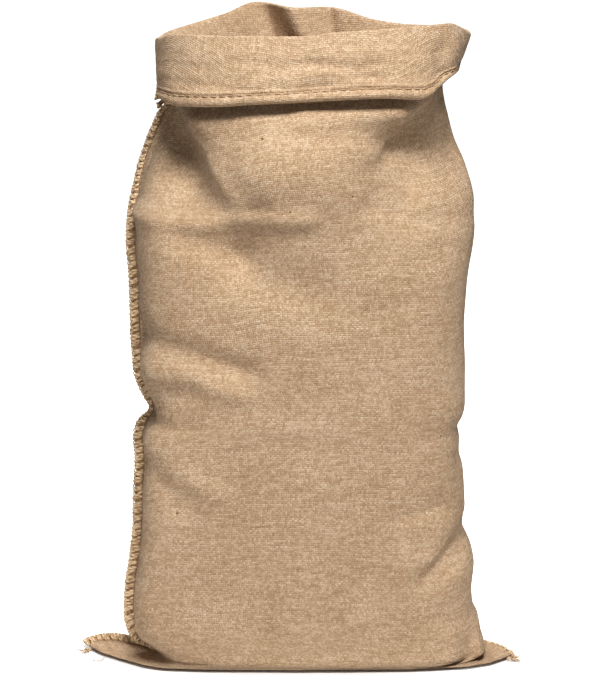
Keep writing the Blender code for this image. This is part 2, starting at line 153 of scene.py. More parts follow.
class Board:
    """A node tree, to which one method adds any node with its settings and its sockets' values or links."""

    def __init__(self, tree):
        self.tree = tree

    def add(self, kind, inputs=(), output=0, **settings):
        node = self.tree.nodes.new(kind)
        for name, setting in settings.items():
            setattr(node, name, setting)
        for name, value in inputs.items() if isinstance(inputs, dict) else enumerate(inputs):
            if isinstance(value, Value):
                self.tree.links.new(value.socket, node.inputs[name])
            else:
                node.inputs[name].default_value = value
        return Value(self, node, output)

    def blend(self, share, first, second):
        """Two colours mixed."""
        inputs = {0: share, 6: first, 7: second}
        return self.add("ShaderNodeMix", inputs, 2, data_type="RGBA", clamp_factor=True)

    def spread(self, value, low, high, to_low=0.0, to_high=1.0):
        """The value's range low to high stretched to another range, and held there."""
        return self.add("ShaderNodeMapRange", [value, low, high, to_low, to_high], clamp=True)

    def noise(self, where, scale, detail=2.0):
        return self.add("ShaderNodeTexNoise", {"Vector": where, "Scale": scale, "Detail": detail})

    def bump(self, height, distance):
        return self.add("ShaderNodeBump", {"Distance": distance, "Strength": 1.0, "Height": height})

    def vector(self, x=0.0, y=0.0, z=0.0):
        return self.add("ShaderNodeCombineXYZ", [x, y, z])

    def vectors(self, operation, inputs, output=0):
        return self.add("ShaderNodeVectorMath", inputs, output, operation=operation)

    def direction(self, name):
        """A direction that the guide line carries on its points."""
        inputs = {"Name": name}
        return self.add("GeometryNodeInputNamedAttribute", inputs, "Attribute", data_type="FLOAT_VECTOR")

    def random(self, low, high, seed):
        inputs = {"Min": low, "Max": high, "Seed": seed}
        return self.add("FunctionNodeRandomValue", inputs, 1, data_type="FLOAT")


DRY_JUTE = {"Roughness": 0.92, "Sheen Weight": 0.05, "Sheen Roughness": 0.6, "Specular IOR Level": 0.15}


def new_material(name):
    """A material, its board and its shader, with the roughness and sheen that all dry jute has."""
    material = bpy.data.materials.new(name)
    material.use_nodes = True
    shader = material.node_tree.nodes["Principled BSDF"]
    for socket, value in DRY_JUTE.items():
        shader.inputs[socket].default_value = value
    return material, Board(material.node_tree), shader


def feed(board, shader, name, value):
    board.tree.links.new(value.socket, shader.inputs[name])


print("signs that add nodes: + - * / < >")

# %% [markdown]
# ## Woven hessian
# Hessian is a plain weave: each weft thread goes over one warp thread and under the next. The threads are
# spun from rough fibre, so each has thick places, called slubs, and a tone of its own that runs along it. A
# printed pattern would look flat from the side, so this finish works out the height of both threads at each
# point, takes the higher one, and uses that height for the relief, for painted shade that darkens the gaps
# between threads, and for the choice of tone. It reads the cloth's own UV map, laid out in metres along the
# threads, so that the weave follows every fold.

# %% Weave the cloth
THREAD_PITCH = 0.00225  # from one thread to the next
THREAD_WANDER = 0.9  # how far a thread strays from its line, in threads
SLUB_LENGTH = 0.034
LIFT_MIDDLE, LIFT_SWING = 0.68, 0.32  # how high a thread runs, and how far it rises and dips from that
WEAVE_RELIEF = 0.00055
HUSK = (0.060, 0.030, 0.012, 1.0)
DEEP_TAN = (0.215, 0.120, 0.056, 1.0)
MID_TAN = (0.500, 0.350, 0.222, 1.0)
PALE_STRAW = (0.870, 0.735, 0.595, 1.0)


def thread(board, across, along_it, phase):
    """One set of threads: number, how high its rounded top stands, and its tone, which changes along it."""
    number = across.maths("FLOOR")
    where = board.vector(number * 7.317, along_it / SLUB_LENGTH, phase)
    slub = board.noise(where, 1.0, 3.0)
    reach = board.spread(slub, 0.3, 0.72, 0.38, 0.60)
    from_middle = (across - number - 0.5) / reach
    top = (1.0 - from_middle * from_middle).maths("MAXIMUM", 0.0)
    return number, top, slub


def weave(board, across, up):
    """Height, tone and chance of the weave at a point of the cloth, given in metres."""
    where = board.vector(across, up)
    stray = board.noise(where, 26.0, 1.0)
    stray_too = board.noise(board.vector(up, across, 3.0), 24.0, 1.0)
    warp = across / THREAD_PITCH + (stray - 0.5) * THREAD_WANDER * 2
    weft = up / THREAD_PITCH + (stray_too - 0.5) * THREAD_WANDER * 2
    warp_number, warp_top, warp_tone = thread(board, warp, up, 0.0)
    weft_number, weft_top, weft_tone = thread(board, weft, across, 5.0)
    warp_lift = ((weft - 0.5 + warp_number) * math.pi).maths("COSINE") * LIFT_SWING + LIFT_MIDDLE
    weft_lift = LIFT_MIDDLE - ((warp - 0.5 + weft_number) * math.pi).maths("COSINE") * LIFT_SWING
    warp_high, weft_high = warp_top * warp_lift, weft_top * weft_lift
    height = warp_high.maths("MAXIMUM", weft_high)
    on_top = weft_high > warp_high
    tone = warp_tone * 0.5 * (1.0 - on_top) + (weft_tone * 1.3 - 0.40) * on_top
    crossing = board.vector(warp_number, weft_number)
    chance = board.add("ShaderNodeTexWhiteNoise", {"Vector": crossing}, noise_dimensions="2D")
    return where, height, tone + (on_top - 0.5) * 0.10, chance


def make_hessian(name):
    material, board, shader = new_material(name)
    place = board.add("ShaderNodeUVMap", uv_map="cloth")
    parts = board.add("ShaderNodeSeparateXYZ", [place])
    across, up = parts, parts.output("Y")
    where, height, tone, chance = weave(board, across, up)
    fibre = board.noise(where, 950.0, 2.0)
    clump = board.noise(board.vector(across * 0.35, up), 260.0, 2.0)
    patch = board.noise(where, 14.0, 3.0)
    shade = tone * 0.28 + chance * 0.14 + fibre * 0.72 + clump * 0.16 + patch * 0.14 - 0.230
    colour = board.blend(board.spread(shade, 0.10, 0.46), DEEP_TAN, MID_TAN)
    colour = board.blend(board.spread(shade, 0.42, 0.84), colour, PALE_STRAW)
    # Painted shade: the low places between the threads are blended towards deep tan.
    colour = board.blend(board.spread(height, 0.42, 0.02) * 0.50, colour, DEEP_TAN)
    cells = board.add("ShaderNodeTexVoronoi", {"Vector": where, "Scale": 75.0}, "Distance")
    lottery = board.add("ShaderNodeSeparateColor", [cells.output("Color")])
    speck = board.spread(cells, 0.10, 0.05) * (lottery > 0.965)
    colour = board.blend(speck, colour, HUSK)
    relief = height + fibre * 0.35 + clump * 0.4 + speck * 0.5
    feed(board, shader, "Base Color", colour)
    feed(board, shader, "Roughness", board.spread(height, 0.0, 1.0, 0.98, 0.86))
    feed(board, shader, "Normal", board.bump(relief, WEAVE_RELIEF))
    return material


hessian = make_hessian("woven_hessian")
print("weave:", round(1 / THREAD_PITCH / 100, 1), "threads a centimetre")

# %% [markdown]
# ## Smooth curves through short tables
# The sack's shape is a stack of sections. Each row of the table gives a height, the outermost places left,
# right, front and back, and how square the curve between them is. A smooth curve that never overshoots
# joins the rows, so a few rows give a wall without ripples, and a row can be moved without upsetting the
# others.

# %% Read curves from tables
def smooth(xs, ys, at):
    """Values at the places asked for, on a curve through the points that never overshoots them."""
    xs, ys, at = (np.asarray(values, float) for values in (xs, ys, at))
    slopes = np.diff(ys) / np.diff(xs)
    same_way = slopes[1:] * slopes[:-1] > 0
    total = np.where(same_way, slopes[1:] + slopes[:-1], 1.0)
    inner = np.where(same_way, 2 * slopes[1:] * slopes[:-1] / total, 0.0)
    tangents = np.concatenate([slopes[:1], inner, slopes[-1:]])
    at = np.clip(at, xs[0], xs[-1])
    k = np.clip(np.searchsorted(xs, at, side="right") - 1, 0, len(xs) - 2)
    span = xs[k + 1] - xs[k]
    t = (at - xs[k]) / span
    start = ys[k] * (1 + 2 * t) * (1 - t) ** 2 + tangents[k] * span * t * (1 - t) ** 2
    end = ys[k + 1] * t * t * (3 - 2 * t) + tangents[k + 1] * span * t * t * (t - 1)
    return start + end


def column(table, columns, name):
    return [row[columns.index(name)] for row in table]


def metres(millimetres, units=1000):
    """A table of millimetres in metres, to the micrometre."""
    return np.round(np.array(millimetres, float) / units, 6)


def gone_along(points):
    """How far along a line each of its points lies."""
    return np.concatenate([[0.0], np.cumsum(np.linalg.norm(np.diff(points, axis=0), axis=1))])


def along(points, count):
    """A line resampled to so many equal steps."""
    length = gone_along(points)
    wanted = np.linspace(0.0, length[-1], count + 1)
    return np.stack([np.interp(wanted, length, places) for places in np.transpose(points)], axis=1)


def line_length(points):
    return float(gone_along(points)[-1])


SECTION_COLUMNS = (
    "height", "left", "right", "front", "back", "left_y", "right_y", "full_left", "full_right", "full_back",
)
SECTION_UNITS = np.array(7 * [1000] + 3 * [1])  # seven columns in millimetres, then three exponents
SECTIONS = metres((
    (0, -164, 201, -107, 33, -46, -34, 3.8, 5.2, 2.4),
    (14, -173, 206, -109, 52, -41, -30, 4.2, 4.8, 2.4),
    (30, -183.5, 202, -110, 64, -35, -26, 6, 4.2, 2.3),
    (44, -187, 200, -111, 70, -30, -24, 7, 3.8, 2.3),
    (55, -187, 194.5, -112, 73, -28, -22, 7, 3.5, 2.3),
    (80, -185.5, 191.5, -113, 77, -26, -18, 7, 3.5, 2.3),
    (105, -181.5, 192.5, -114, 80, -24, -15, 7, 3.5, 2.3),
    (125, -179, 188, -115, 81, -22, -12, 7, 3.5, 2.3),
    (147, -177, 182, -115, 82, -20, -10, 7, 3.5, 2.3),
    (185, -176, 182.5, -115, 83, -20, -8, 7, 3.5, 2.3),
    (220, -174, 181, -115, 84, -20, -6, 7, 3.5, 2.3),
    (246, -175.5, 181, -115, 84, -19, -5, 7, 3.5, 2.3),
    (262, -171, 178.5, -115, 84, -18, -4, 6, 3.5, 2.3),
    (275, -162.5, 181, -115, 84, -16, -3, 5, 3.5, 2.3),
    (290, -164.5, 183, -115, 84, -17, -2, 5, 3.5, 2.3),
    (320, -174.5, 183, -115, 84, -18, 0, 4, 3.3, 2.3),
    (370, -177.5, 181.5, -115, 85, -16, 0, 3.8, 3.3, 2.2),
    (420, -178.5, 183.5, -115, 86, -14, 0, 3.6, 3.3, 2.2),
    (470, -181.5, 191, -115, 87, -10, 0, 3.2, 2.8, 2.2),
    (498, -181, 192.8, -115, 88, -6, 0, 2.8, 2.8, 2.2),
    (520, -177, 189.3, -115, 89, -2, 0, 2.4, 2.8, 2.2),
    (545, -171.5, 182, -114, 90, 2, 2, 2, 2.7, 2.2),
    (575, -161.5, 169, -112, 91, 4, 4, 1.8, 2.4, 2.2),
    (600, -151, 162, -106, 90, 4, 4, 1.8, 2.4, 2.2),
    (625, -140, 157, -99, 87, 0, 2, 2, 2.6, 2.2),
    (650, -134, 155, -97, 83, -6, 0, 2.2, 2.6, 2.3),
    (675, -139, 166, -98, 82, -14, 0, 2.4, 2.7, 2.4),
    (700, -152, 181, -101, 83, -20, 0, 2.6, 2.8, 2.5),
), SECTION_UNITS)
HEM_SECTION = metres((0, -150, 166, -116, 96, -20, 0, 2.6, 3.6, 2.4), SECTION_UNITS)
LIP_COLUMNS = ("x", "front_rim", "front_hem", "back_rim", "back_hem")
LIP = metres((
    (-152, 686, 623.5, 686, 623.5),
    (-130, 695, 620, 692, 627),
    (-85, 695, 621.5, 704, 640),
    (-48, 695, 624.5, 716, 648),
    (0, 695, 627, 711.5, 648),
    (36, 699, 629, 710.5, 648),
    (86, 702, 631, 697, 643),
    (127, 704.5, 628.5, 693, 642),
    (156, 706, 645, 693, 650),
    (183, 691, 664, 691, 664),
))
print("sections:", len(SECTIONS), "from the floor to", SECTIONS[-1][0], "m")

# %% [markdown]
# ## One section of the sack
# Each section is four quarter curves, cut where the two side seams run. Stations are spread evenly along
# the front panel and along the back panel, so that a station keeps to one warp thread all the way up, as
# the cloth does.

# %% Draw one section
PANEL_STEPS = 136
STATIONS = 2 * PANEL_STEPS
CURVE_STEPS = 160
SEAM_BEHIND = 0.046
SEAM_LIFT = 0.003
SEAM_HOLD = 0.013
NECK_FOOT = 0.62
RIM_HEIGHT = 0.70


def section(values):
    """Even stations round one section: the left seam, the front, the right seam, then the back."""
    side = dict(zip(SECTION_COLUMNS, values))
    turn = np.linspace(0.0, math.pi / 2, CURVE_STEPS + 1)

    def quarter(side_x, side_y, end_y, full):
        x = side_x * np.maximum(np.cos(turn), 0.0) ** (2 / full)
        y = side_y + (end_y - side_y) * np.sin(turn) ** (2 / full)
        return np.stack([x, y], axis=1)

    front_left = quarter(side["left"], side["left_y"], side["front"], side["full_left"])
    front_right = quarter(side["right"], side["right_y"], side["front"], side["full_right"])[::-1]
    back_right = quarter(side["right"], side["right_y"], side["back"], side["full_back"])
    back_left = quarter(side["left"], side["left_y"], side["back"], side["full_back"])[::-1]
    round_back = np.concatenate([back_right, back_left[1:]])
    reach = gone_along(round_back)
    seam = np.array([np.interp(SEAM_BEHIND, reach, round_back[:, k]) for k in (0, 1)])
    to_seam = np.concatenate([round_back[reach < SEAM_BEHIND], [seam]])
    from_seam = np.concatenate([[seam], round_back[reach > SEAM_BEHIND]])
    front = along(np.concatenate([front_left, front_right[1:], to_seam[1:]]), PANEL_STEPS)
    back = along(from_seam, PANEL_STEPS)
    return np.concatenate([front[:-1], back[:-1]])


def outward(ring):
    """Level directions out of a ring of stations."""
    across = np.roll(ring, -1, axis=0) - np.roll(ring, 1, axis=0)
    out = np.stack([across[:, 1], -across[:, 0]], axis=1)
    out /= np.linalg.norm(out, axis=1, keepdims=True)
    return out * np.sign(np.sum(out * (ring - ring.mean(axis=0))))


station = np.arange(STATIONS)
on_front = station <= PANEL_STEPS
from_seam = np.minimum(station % PANEL_STEPS, (-station) % PANEL_STEPS)
seam_hold = 1.0 - np.exp(-((from_seam / (PANEL_STEPS * SEAM_HOLD)) ** 2))
print("stations round the sack:", STATIONS)

# %% [markdown]
# ## Folds and creases
# Cloth this stiff does not drape in soft waves. It dents, and the dents meet in creases with one steep
# side. Each fold is a ridge or a trough along a short line on the cloth, seen from the front as x and
# height. A fold has two widths, one for each side of its line, so a crease can be sharp on one side and run
# out gently on the other, and it may fade towards its end. A cloth simulation would make folds too, but not
# in chosen places.

# %% List the folds
FOLD_COLUMNS = ("panel", "depth", "left_width", "right_width", "start", "end", "places")
# Depth, widths and places are in millimetres. Depth is outwards or, for "sunk", which is on the front panel
# too, away from the back of the sack. Widths are to the left and right of someone who walks along the line.
# start and end are the shares of the depth there.
FOLDS = (
    # The main folds. The solid has them too, and some of them are shallower there.
    ("sunk", -48, 22, 40, 1, 0.5, ((-131, 630), (-129, 600), (-127, 570), (-122, 535))),
    ("front", 6, 14, 14, 1, 1, ((-126, 612), (-110, 572), (-90, 540), (-66, 510))),
    ("front", 19, 50, 50, 1, 1, ((-30, 550), (50, 554))),
    ("sunk", -46, 36, 62, 0.7, 1, ((104, 570), (126, 566), (160, 566))),
    ("front", -4.5, 12, 12, 1, 1, ((85, 580), (116, 526))),
    ("front", 6, 11, 11, 1, 1, ((-178, 497), (-110, 496), (-30, 500), (10, 502))),
    ("front", -7.4, 16, 16, 0.8, 1, ((-128, 479), (-94, 470), (-63, 460))),
    ("front", -19, 32, 28, 0.7, 0.3, ((-64, 451), (-34, 438), (-2, 427), (30, 420))),
    ("front", -3, 12, 12, 1, 1, ((75, 516), (125, 496), (185, 497))),
    ("front", -6.8, 16, 16, 1, 1, ((-175, 370), (-110, 352), (-60, 334))),
    ("front", 6, 15, 15, 1, 1, ((-160, 332), (-120, 328), (-70, 316))),
    ("front", -5.2, 14, 14, 0.4, 1, ((-165, 280), (-140, 300), (-120, 316))),
    ("front", -4.8, 15, 15, 1, 1, ((-168, 232), (-145, 212), (-128, 190))),
    ("front", 4.5, 14, 14, 1, 1, ((-135, 226), (-95, 204))),
    ("front", -4.5, 11, 11, 1, 1, ((172, 262), (178, 232))),
    ("front", -4, 11, 11, 1, 1, ((105, 174), (155, 184))),
    ("sunk", -14, 18, 13, 1, 0.4, ((184, 150), (166, 134), (136, 106))),
    ("front", 4, 16, 16, 1, 1, ((180, 118), (160, 90))),
    ("sunk", -18, 8, 13, 0.3, 1, ((190, 52), (188, 26), (187, 6))),
    ("back", 16, 16, 18, 1, 1, ((-46, 720), (-30, 690), (0, 640))),
    ("back", -19, 18, 17, 1, 1, ((-14, 720), (2, 680), (30, 620))),
    ("back", 8, 8, 14, 1, 1, ((30, 716), (38, 670), (60, 600))),
    ("back", -13, 20, 30, 1, 0.4, ((-120, 616), (-70, 540), (-40, 510))),
    ("back", 8, 12, 20, 0.3, 1, ((-150, 486), (-20, 494), (70, 480))),
    ("back", -11, 22, 12, 1, 0.3, ((-160, 410), (-80, 438), (0, 446))),
    ("back", -13, 14, 24, 1, 0.3, ((150, 572), (80, 520), (40, 470))),
    ("back", -11, 12, 20, 1, 0.3, ((176, 320), (110, 280), (30, 262))),
    ("back", 7, 14, 20, 1, 0.4, ((150, 344), (80, 322), (0, 312))),
    ("back", -11, 20, 12, 1, 0.3, ((-170, 216), (-110, 180), (-40, 160))),
    ("back", -9, 14, 22, 1, 0.3, ((160, 128), (100, 92), (20, 80))),
    ("back", 5, 6, 16, 1, 0.3, ((-150, 120), (-60, 92))),
    ("back", -4, 5, 12, 0.3, 1, ((-20, 370), (60, 384), (140, 376))),
    # The finer creases.
    ("front", 10, 36, 6, 1, 0, ((-119, 624), (-108, 592), (-98, 568), (-86, 545), (-57, 510))),
    ("front", 13, 6, 30, 1, 0.6, ((126, 624), (105, 609), (93, 593), (82, 576))),
    ("front", 13, 20, 6, 1, 0.2, ((-119, 626), (-108, 600), (-101, 580))),
    ("front", 11, 14, 16, 0.9, 0.3, ((-96, 604), (-60, 609), (-10, 611))),
    ("front", 11, 14, 16, 0.7, 1, ((10, 611), (60, 613), (98, 613))),
    ("front", -20, 30, 40, 0.6, 0.7, ((-116, 552), (-104, 532), (-88, 516), (-68, 503))),
    ("sunk", -28, 12, 12, 1, 0.2, ((-164, 2), (-170, 18), (-181, 44))),
    ("front", -4, 12, 12, 1, 0, ((-152, 10), (-126, 6))),
    ("front", -3, 10, 4, 0, 0.6, ((-100, 513), (-62, 509), (-40, 512))),
    ("front", -2.6, 3, 5, 0.4, 0.2, ((77, 530), (84, 533), (94, 531))),
    ("front", -2.6, 14, 4, 0.2, 1, ((-150, 362), (-108, 356), (-60, 336))),
    ("front", 2.6, 4, 16, 0.6, 0.2, ((-150, 350), (-110, 338), (-78, 344))),
    ("front", -3, 6, 10, 0.6, 0.4, ((-136, 330), (-140, 310), (-152, 292))),
    ("front", -3, 3.5, 7, 0.2, 0.5, ((94, 189), (118, 193), (146, 199))),
    ("front", 4, 16, 3.5, 1, 0.3, ((138, 120), (158, 142), (178, 168))),
    ("front", 2.4, 4, 8, 0.3, 1, ((160, 278), (166, 262), (170, 246))),
    ("front", -2, 12, 5, 0.2, 0.8, ((-150, 246), (-134, 226), (-118, 204))),
    ("front", -1.6, 10, 10, 0.4, 0.4, ((20, 60), (120, 40))),
    ("front", 1.6, 14, 10, 0.4, 0.4, ((-130, 120), (-40, 100))),
    ("front", -1.8, 14, 10, 0.4, 0.4, ((50, 400), (130, 412))),
    ("front", 1.6, 14, 8, 0.4, 0.4, ((-60, 280), (40, 268))),
)
UNEVEN = metres(((70, 1.2), (28, 0.6)))  # sizes and depths of the small unevenness all over the cloth
SUNK_FROM, SUNK_WHOLLY = 0.020, -0.050  # sunk folds die out between these depths, before they reach a seam


def points(ring, z):
    return np.column_stack([ring, np.broadcast_to(z, len(ring))])


def read_folds(table):
    """The rows with their column names, in metres."""
    folds = [dict(zip(FOLD_COLUMNS, row)) for row in table]
    for fold in folds:
        fold.update({name: metres(fold[name]) for name in ("depth", "left_width", "right_width", "places")})
    return folds


def fold_depth(spots, fold):
    """How far one fold moves each spot, given as x and height."""
    nearest = np.full(len(spots), np.inf)
    depth = np.zeros(len(spots))
    places = fold["places"]
    total, gone = line_length(places), 0.0
    for start, end in zip(places, places[1:]):
        way = end - start
        length = float(np.linalg.norm(way))
        share = np.clip((spots - start) @ way / length**2, 0.0, 1.0)
        off = spots - start - share[:, None] * way
        distance = np.linalg.norm(off, axis=1)
        leftness = (way[0] * off[:, 1] - way[1] * off[:, 0]) / (length * np.maximum(distance, 1e-6))
        width = fold["right_width"] + (fold["left_width"] - fold["right_width"]) * (0.5 + 0.5 * leftness)
        strength = fold["start"] + (fold["end"] - fold["start"]) * (gone + share * length) / total
        here = strength * fold["depth"] * np.exp(-((distance / width) ** 2))
        depth = np.where(distance < nearest, here, depth)
        nearest = np.minimum(nearest, distance)
        gone += length
    return depth


def folds_at(ring, heights):
    """How far each station stands out of its plain section, and how far it is sunk towards the back."""
    spots = np.stack([ring[:, 0], heights], axis=1)
    total, sunk = np.zeros(STATIONS), np.zeros(STATIONS)
    for fold in folds:
        depth = np.where(on_front == (fold["panel"] != "back"), fold_depth(spots, fold), 0.0)
        if fold["panel"] == "sunk":
            sunk -= depth * np.clip((SUNK_FROM - ring[:, 1]) / (SUNK_FROM - SUNK_WHOLLY), 0.0, 1.0)
        else:
            total += depth
    for size, depth in UNEVEN:
        total += [depth * noise.noise(Vector(spot)) for spot in points(ring, heights) / size]
    return total * seam_hold, sunk * seam_hold


folds = read_folds(FOLDS)
print("folds:", len(folds))

# %% [markdown]
# ## The wall, the rim and the cuff
# The sheet runs up the outside, rolls over at the rim, comes down as the cuff and turns under at the hem,
# where it is folded back on itself behind the row of stitches. A real sheet has no inside and outside
# surface to join, so one surface follows the whole way, and its turns are small half circles.

# %% Raise the wall
HEIGHTS = (*np.linspace(0.012, 0.61, 226), *np.linspace(0.6135, 0.697, 26))
INSET = 0.0008  # the sheet lies this far inside the outer face of the wall
SEAM_CREST = 1.6  # half the width of the ridge at a seam, in stations
FRONT_TO_BACK = (-0.05, 0.05)  # between these depths the front's rim runs up or down to the back's


def lip_heights(ring, edge):
    """The rim and the hem's edge aren't level: their heights where the stations are."""
    xs = column(LIP, LIP_COLUMNS, "x")
    front = smooth(xs, column(LIP, LIP_COLUMNS, "front_" + edge), ring[:, 0])
    back = smooth(xs, column(LIP, LIP_COLUMNS, "back_" + edge), ring[:, 0])
    return front + (back - front) * smooth(FRONT_TO_BACK, (0.0, 1.0), ring[:, 1])


def level(height):
    """Stations of the wall at one height, with its folds, and their directions out."""
    values = [float(smooth(SECTIONS[:, 0], listed, height)) for listed in SECTIONS.T]
    values[SECTION_COLUMNS.index("left")] += SEAM_LIFT
    ring = section(values)
    out = outward(ring)
    z = np.full(STATIONS, float(height))
    if height > NECK_FOOT:
        share = (height - NECK_FOOT) / (RIM_HEIGHT - NECK_FOOT)
        z = NECK_FOOT + share * (lip_heights(ring, "rim") - NECK_FOOT)
    stands_out, sunk = folds_at(ring, z)
    ring = points(ring + out * stands_out[:, None] + np.outer(sunk, (0.0, 1.0)), z)
    front = along(ring[: PANEL_STEPS + 1], PANEL_STEPS)
    back = along(np.concatenate([ring[PANEL_STEPS:], ring[:1]]), PANEL_STEPS)
    ring = np.concatenate([front[:-1], back[:-1]])
    ring, z = ring[:, :2], ring[:, 2]
    out = outward(ring)
    for seam in (0, PANEL_STEPS):
        crest = np.exp(-((np.minimum(abs(station - seam), STATIONS - abs(station - seam)) / SEAM_CREST) ** 2))
        ring += out * (SEAM_LIFT * crest)[:, None]
    return ring, out, z


wall = []
for height in HEIGHTS:
    ring, out, z = level(height)
    wall.append(points(ring - out * INSET, z))
print("rows up the wall:", len(wall))

# %% Turn the rim down as a cuff
RIM_ROUND = 0.003
ROLL_STEPS = 7
CUFF_STEPS = 26
HEM_DEPTH = 0.010
CUFF_SWELL = 0.002
CUFF_FACE = 0.0040  # the cuff's face lies this far outside the wall at the rim
CUFF_SHORT = 0.05  # the share of the drop by which the cuff's plain rows end short of the hem
CUFF_FOLDS = (  # as above, with places as x and the depth below the rim
    ("front", -3.4, 16, 8, 1, 0.6, ((158, 0), (150, -30), (146, -60))),
    ("front", 3, 6, 12, 1, 1, ((168, 0), (158, -40))),
    ("front", -4.5, 12, 9, 0.4, 1, ((132, -4), (142, -24), (150, -46))),
    ("front", -3, 16, 10, 0.5, 0.3, ((-146, -20), (-100, -34), (-50, -36))),
    ("front", 1.8, 14, 14, 0.5, 0.5, ((-110, -10), (-20, -18))),
    ("front", -2, 10, 14, 0.2, 0.8, ((-20, -50), (30, -46), (90, -36))),
    ("front", 2, 20, 10, 0.5, 0.2, ((30, -14), (100, -20))),
    ("front", -1.5, 8, 8, 1, 0.3, ((-2, 0), (4, -16))),
    ("front", -2.2, 3, 4, 0.3, 1, ((-146, -44), (-110, -49), (-60, -51))),
    ("front", -1.9, 4, 3, 0.3, 1, ((-40, -56), (20, -53), (70, -55))),
    ("front", -2, 3, 4, 1, 0.3, ((60, -44), (100, -48), (130, -46))),
    ("front", 1.8, 4, 5, 0.3, 1, ((-90, -36), (-40, -40), (30, -38))),
    ("front", -2.5, 4, 6, 0.2, 1, ((-70, -22), (-20, -27), (20, -24))),
    ("front", -2.4, 5, 4, 1, 0.2, ((14, -30), (60, -34), (104, -28))),
    ("front", 2, 4, 6, 0.2, 1, ((-140, -52), (-100, -56), (-40, -46))),
    ("front", -2, 3, 5, 0.6, 0.6, ((50, -10), (90, -14), (120, -12))),
    ("front", 1.9, 3, 5, 1, 0.2, ((40, -52), (90, -50), (124, -56))),
    ("front", -2, 10, 4, 1, 0.2, ((-128, -4), (-132, -30))),
    ("back", 6, 20, 20, 1, 0.6, ((-48, 0), (-30, -60))),
    ("back", -6, 20, 20, 1, 0.6, ((-4, 0), (10, -60))),
    ("back", 4, 20, 20, 1, 0.6, ((40, 0), (60, -60))),
    ("back", -3, 20, 20, 1, 0.6, ((110, 0), (100, -60))),
)
CUFF_UNEVEN = metres(((30, 30, 1.1), (20, 8, 0.9)))  # sizes along and down it, and depths
cuff_folds = read_folds(CUFF_FOLDS)

rim, rim_out, _ = level(RIM_HEIGHT)
plain_rim_z = lip_heights(rim, "rim")
side_z = plain_rim_z - RIM_ROUND
hem = section(HEM_SECTION)
hem_z = lip_heights(hem, "hem")
hem_out = outward(hem)


def cuff_place(share, away):
    """A place on the cuff at a share of the way from the rim to the hem's edge, moved outwards."""
    fade = np.clip(share, 0.0, 1.0)
    start = rim + rim_out * (CUFF_FACE - CUFF_SWELL)
    ring = start + (hem - start) * share
    way = rim_out + (hem_out - rim_out) * fade
    z = side_z + (hem_z - side_z) * share
    spots = np.stack([ring[:, 0], z - side_z], axis=1)
    fold = np.zeros(STATIONS)
    for crease in cuff_folds:
        fold += np.where(on_front == (crease["panel"] == "front"), fold_depth(spots, crease), 0.0)
    for along_it, down, depth in CUFF_UNEVEN:
        spots = zip(ring[:, 0] / along_it, ring[:, 1] / along_it, z / down)
        fold += [depth * noise.noise(Vector(spot)) for spot in spots]
    swell = CUFF_SWELL * (1.0 + math.sin(math.pi * fade))
    return points(ring + way * (away + swell + fold * math.sin(math.pi * min(fade, 0.5)))[:, None], z)


drop = side_z - hem_z
rows_over_rim = []
roll = (CUFF_FACE + INSET) / 2
for turn in np.linspace(0.0, math.pi, ROLL_STEPS + 2)[1:-1]:
    across = -INSET + roll * (1 - math.cos(turn))
    rows_over_rim.append(points(rim + rim_out * across, side_z + RIM_ROUND * math.sin(turn)))
stitch_share = 1.0 - HEM_DEPTH / float(drop.mean())
cuff = [cuff_place(share, 0.0) for share in np.linspace(0.0, stitch_share - CUFF_SHORT, CUFF_STEPS)]
HEM_ROWS = metres((  # height above the hem's edge, and how far out the cloth lies there
    (13, 0.8), (11.6, 0.6), (10.6, 0.4), (9.8, -0.2), (9, 0.5), (7.8, 1.4), (6, 2.6), (4, 3),
    (2.2, 2.2), (0.8, 0.6), (-0.2, -1.2), (0.4, -2.8), (2, -3.6), (6, -3.6), (11, -3),
))
cuff += [cuff_place(1.0 - up / float(drop.mean()), away) for up, away in HEM_ROWS]
print("rows over the rim and down the cuff:", len(rows_over_rim) + len(cuff))

# %% [markdown]
# ## The bottom fold and the two ears
# The bottom is one fold across the cloth. Where the sack spreads to stand, the fold runs out past its sides
# as two flat ears, one at each seam, with the seam's edge along the back of each. Both panels share the
# points of the fold, because there the cloth is whole.

# %% Lay the bottom fold
FLOOR_LIFT = 0.0005
FOLD_HEIGHT = 0.0042
EAR_THICK = 0.0050
THICKENS = 0.06  # the share of the way to the wall's foot over which the fold reaches the ear's thickness
UNDER_ROLL = 0.13  # and the share over which it rolls under
SKIRT_TOP = 0.010
FLOOR_SHARES = (0.0, 0.02, 0.06, 0.14, 0.24, 0.34, 0.44, 0.54, 0.64, 0.73, 0.81, 0.88, 0.94, 0.98)
FOLD_LINE = metres((
    (-240, -17), (-222, -44), (-200, -65.5), (-171, -90.5), (-150, -101), (-100, -106), (0, -107.5),
    (120, -104.5), (183, -96), (210, -82.5), (227, -64), (235, -55),
))
LEFT_EAR_BOW = (0.004, 0.018, 0.003)
RIGHT_EAR_BOW = (0.002, 0.002, 0.005)
BOW_REACH = 0.030


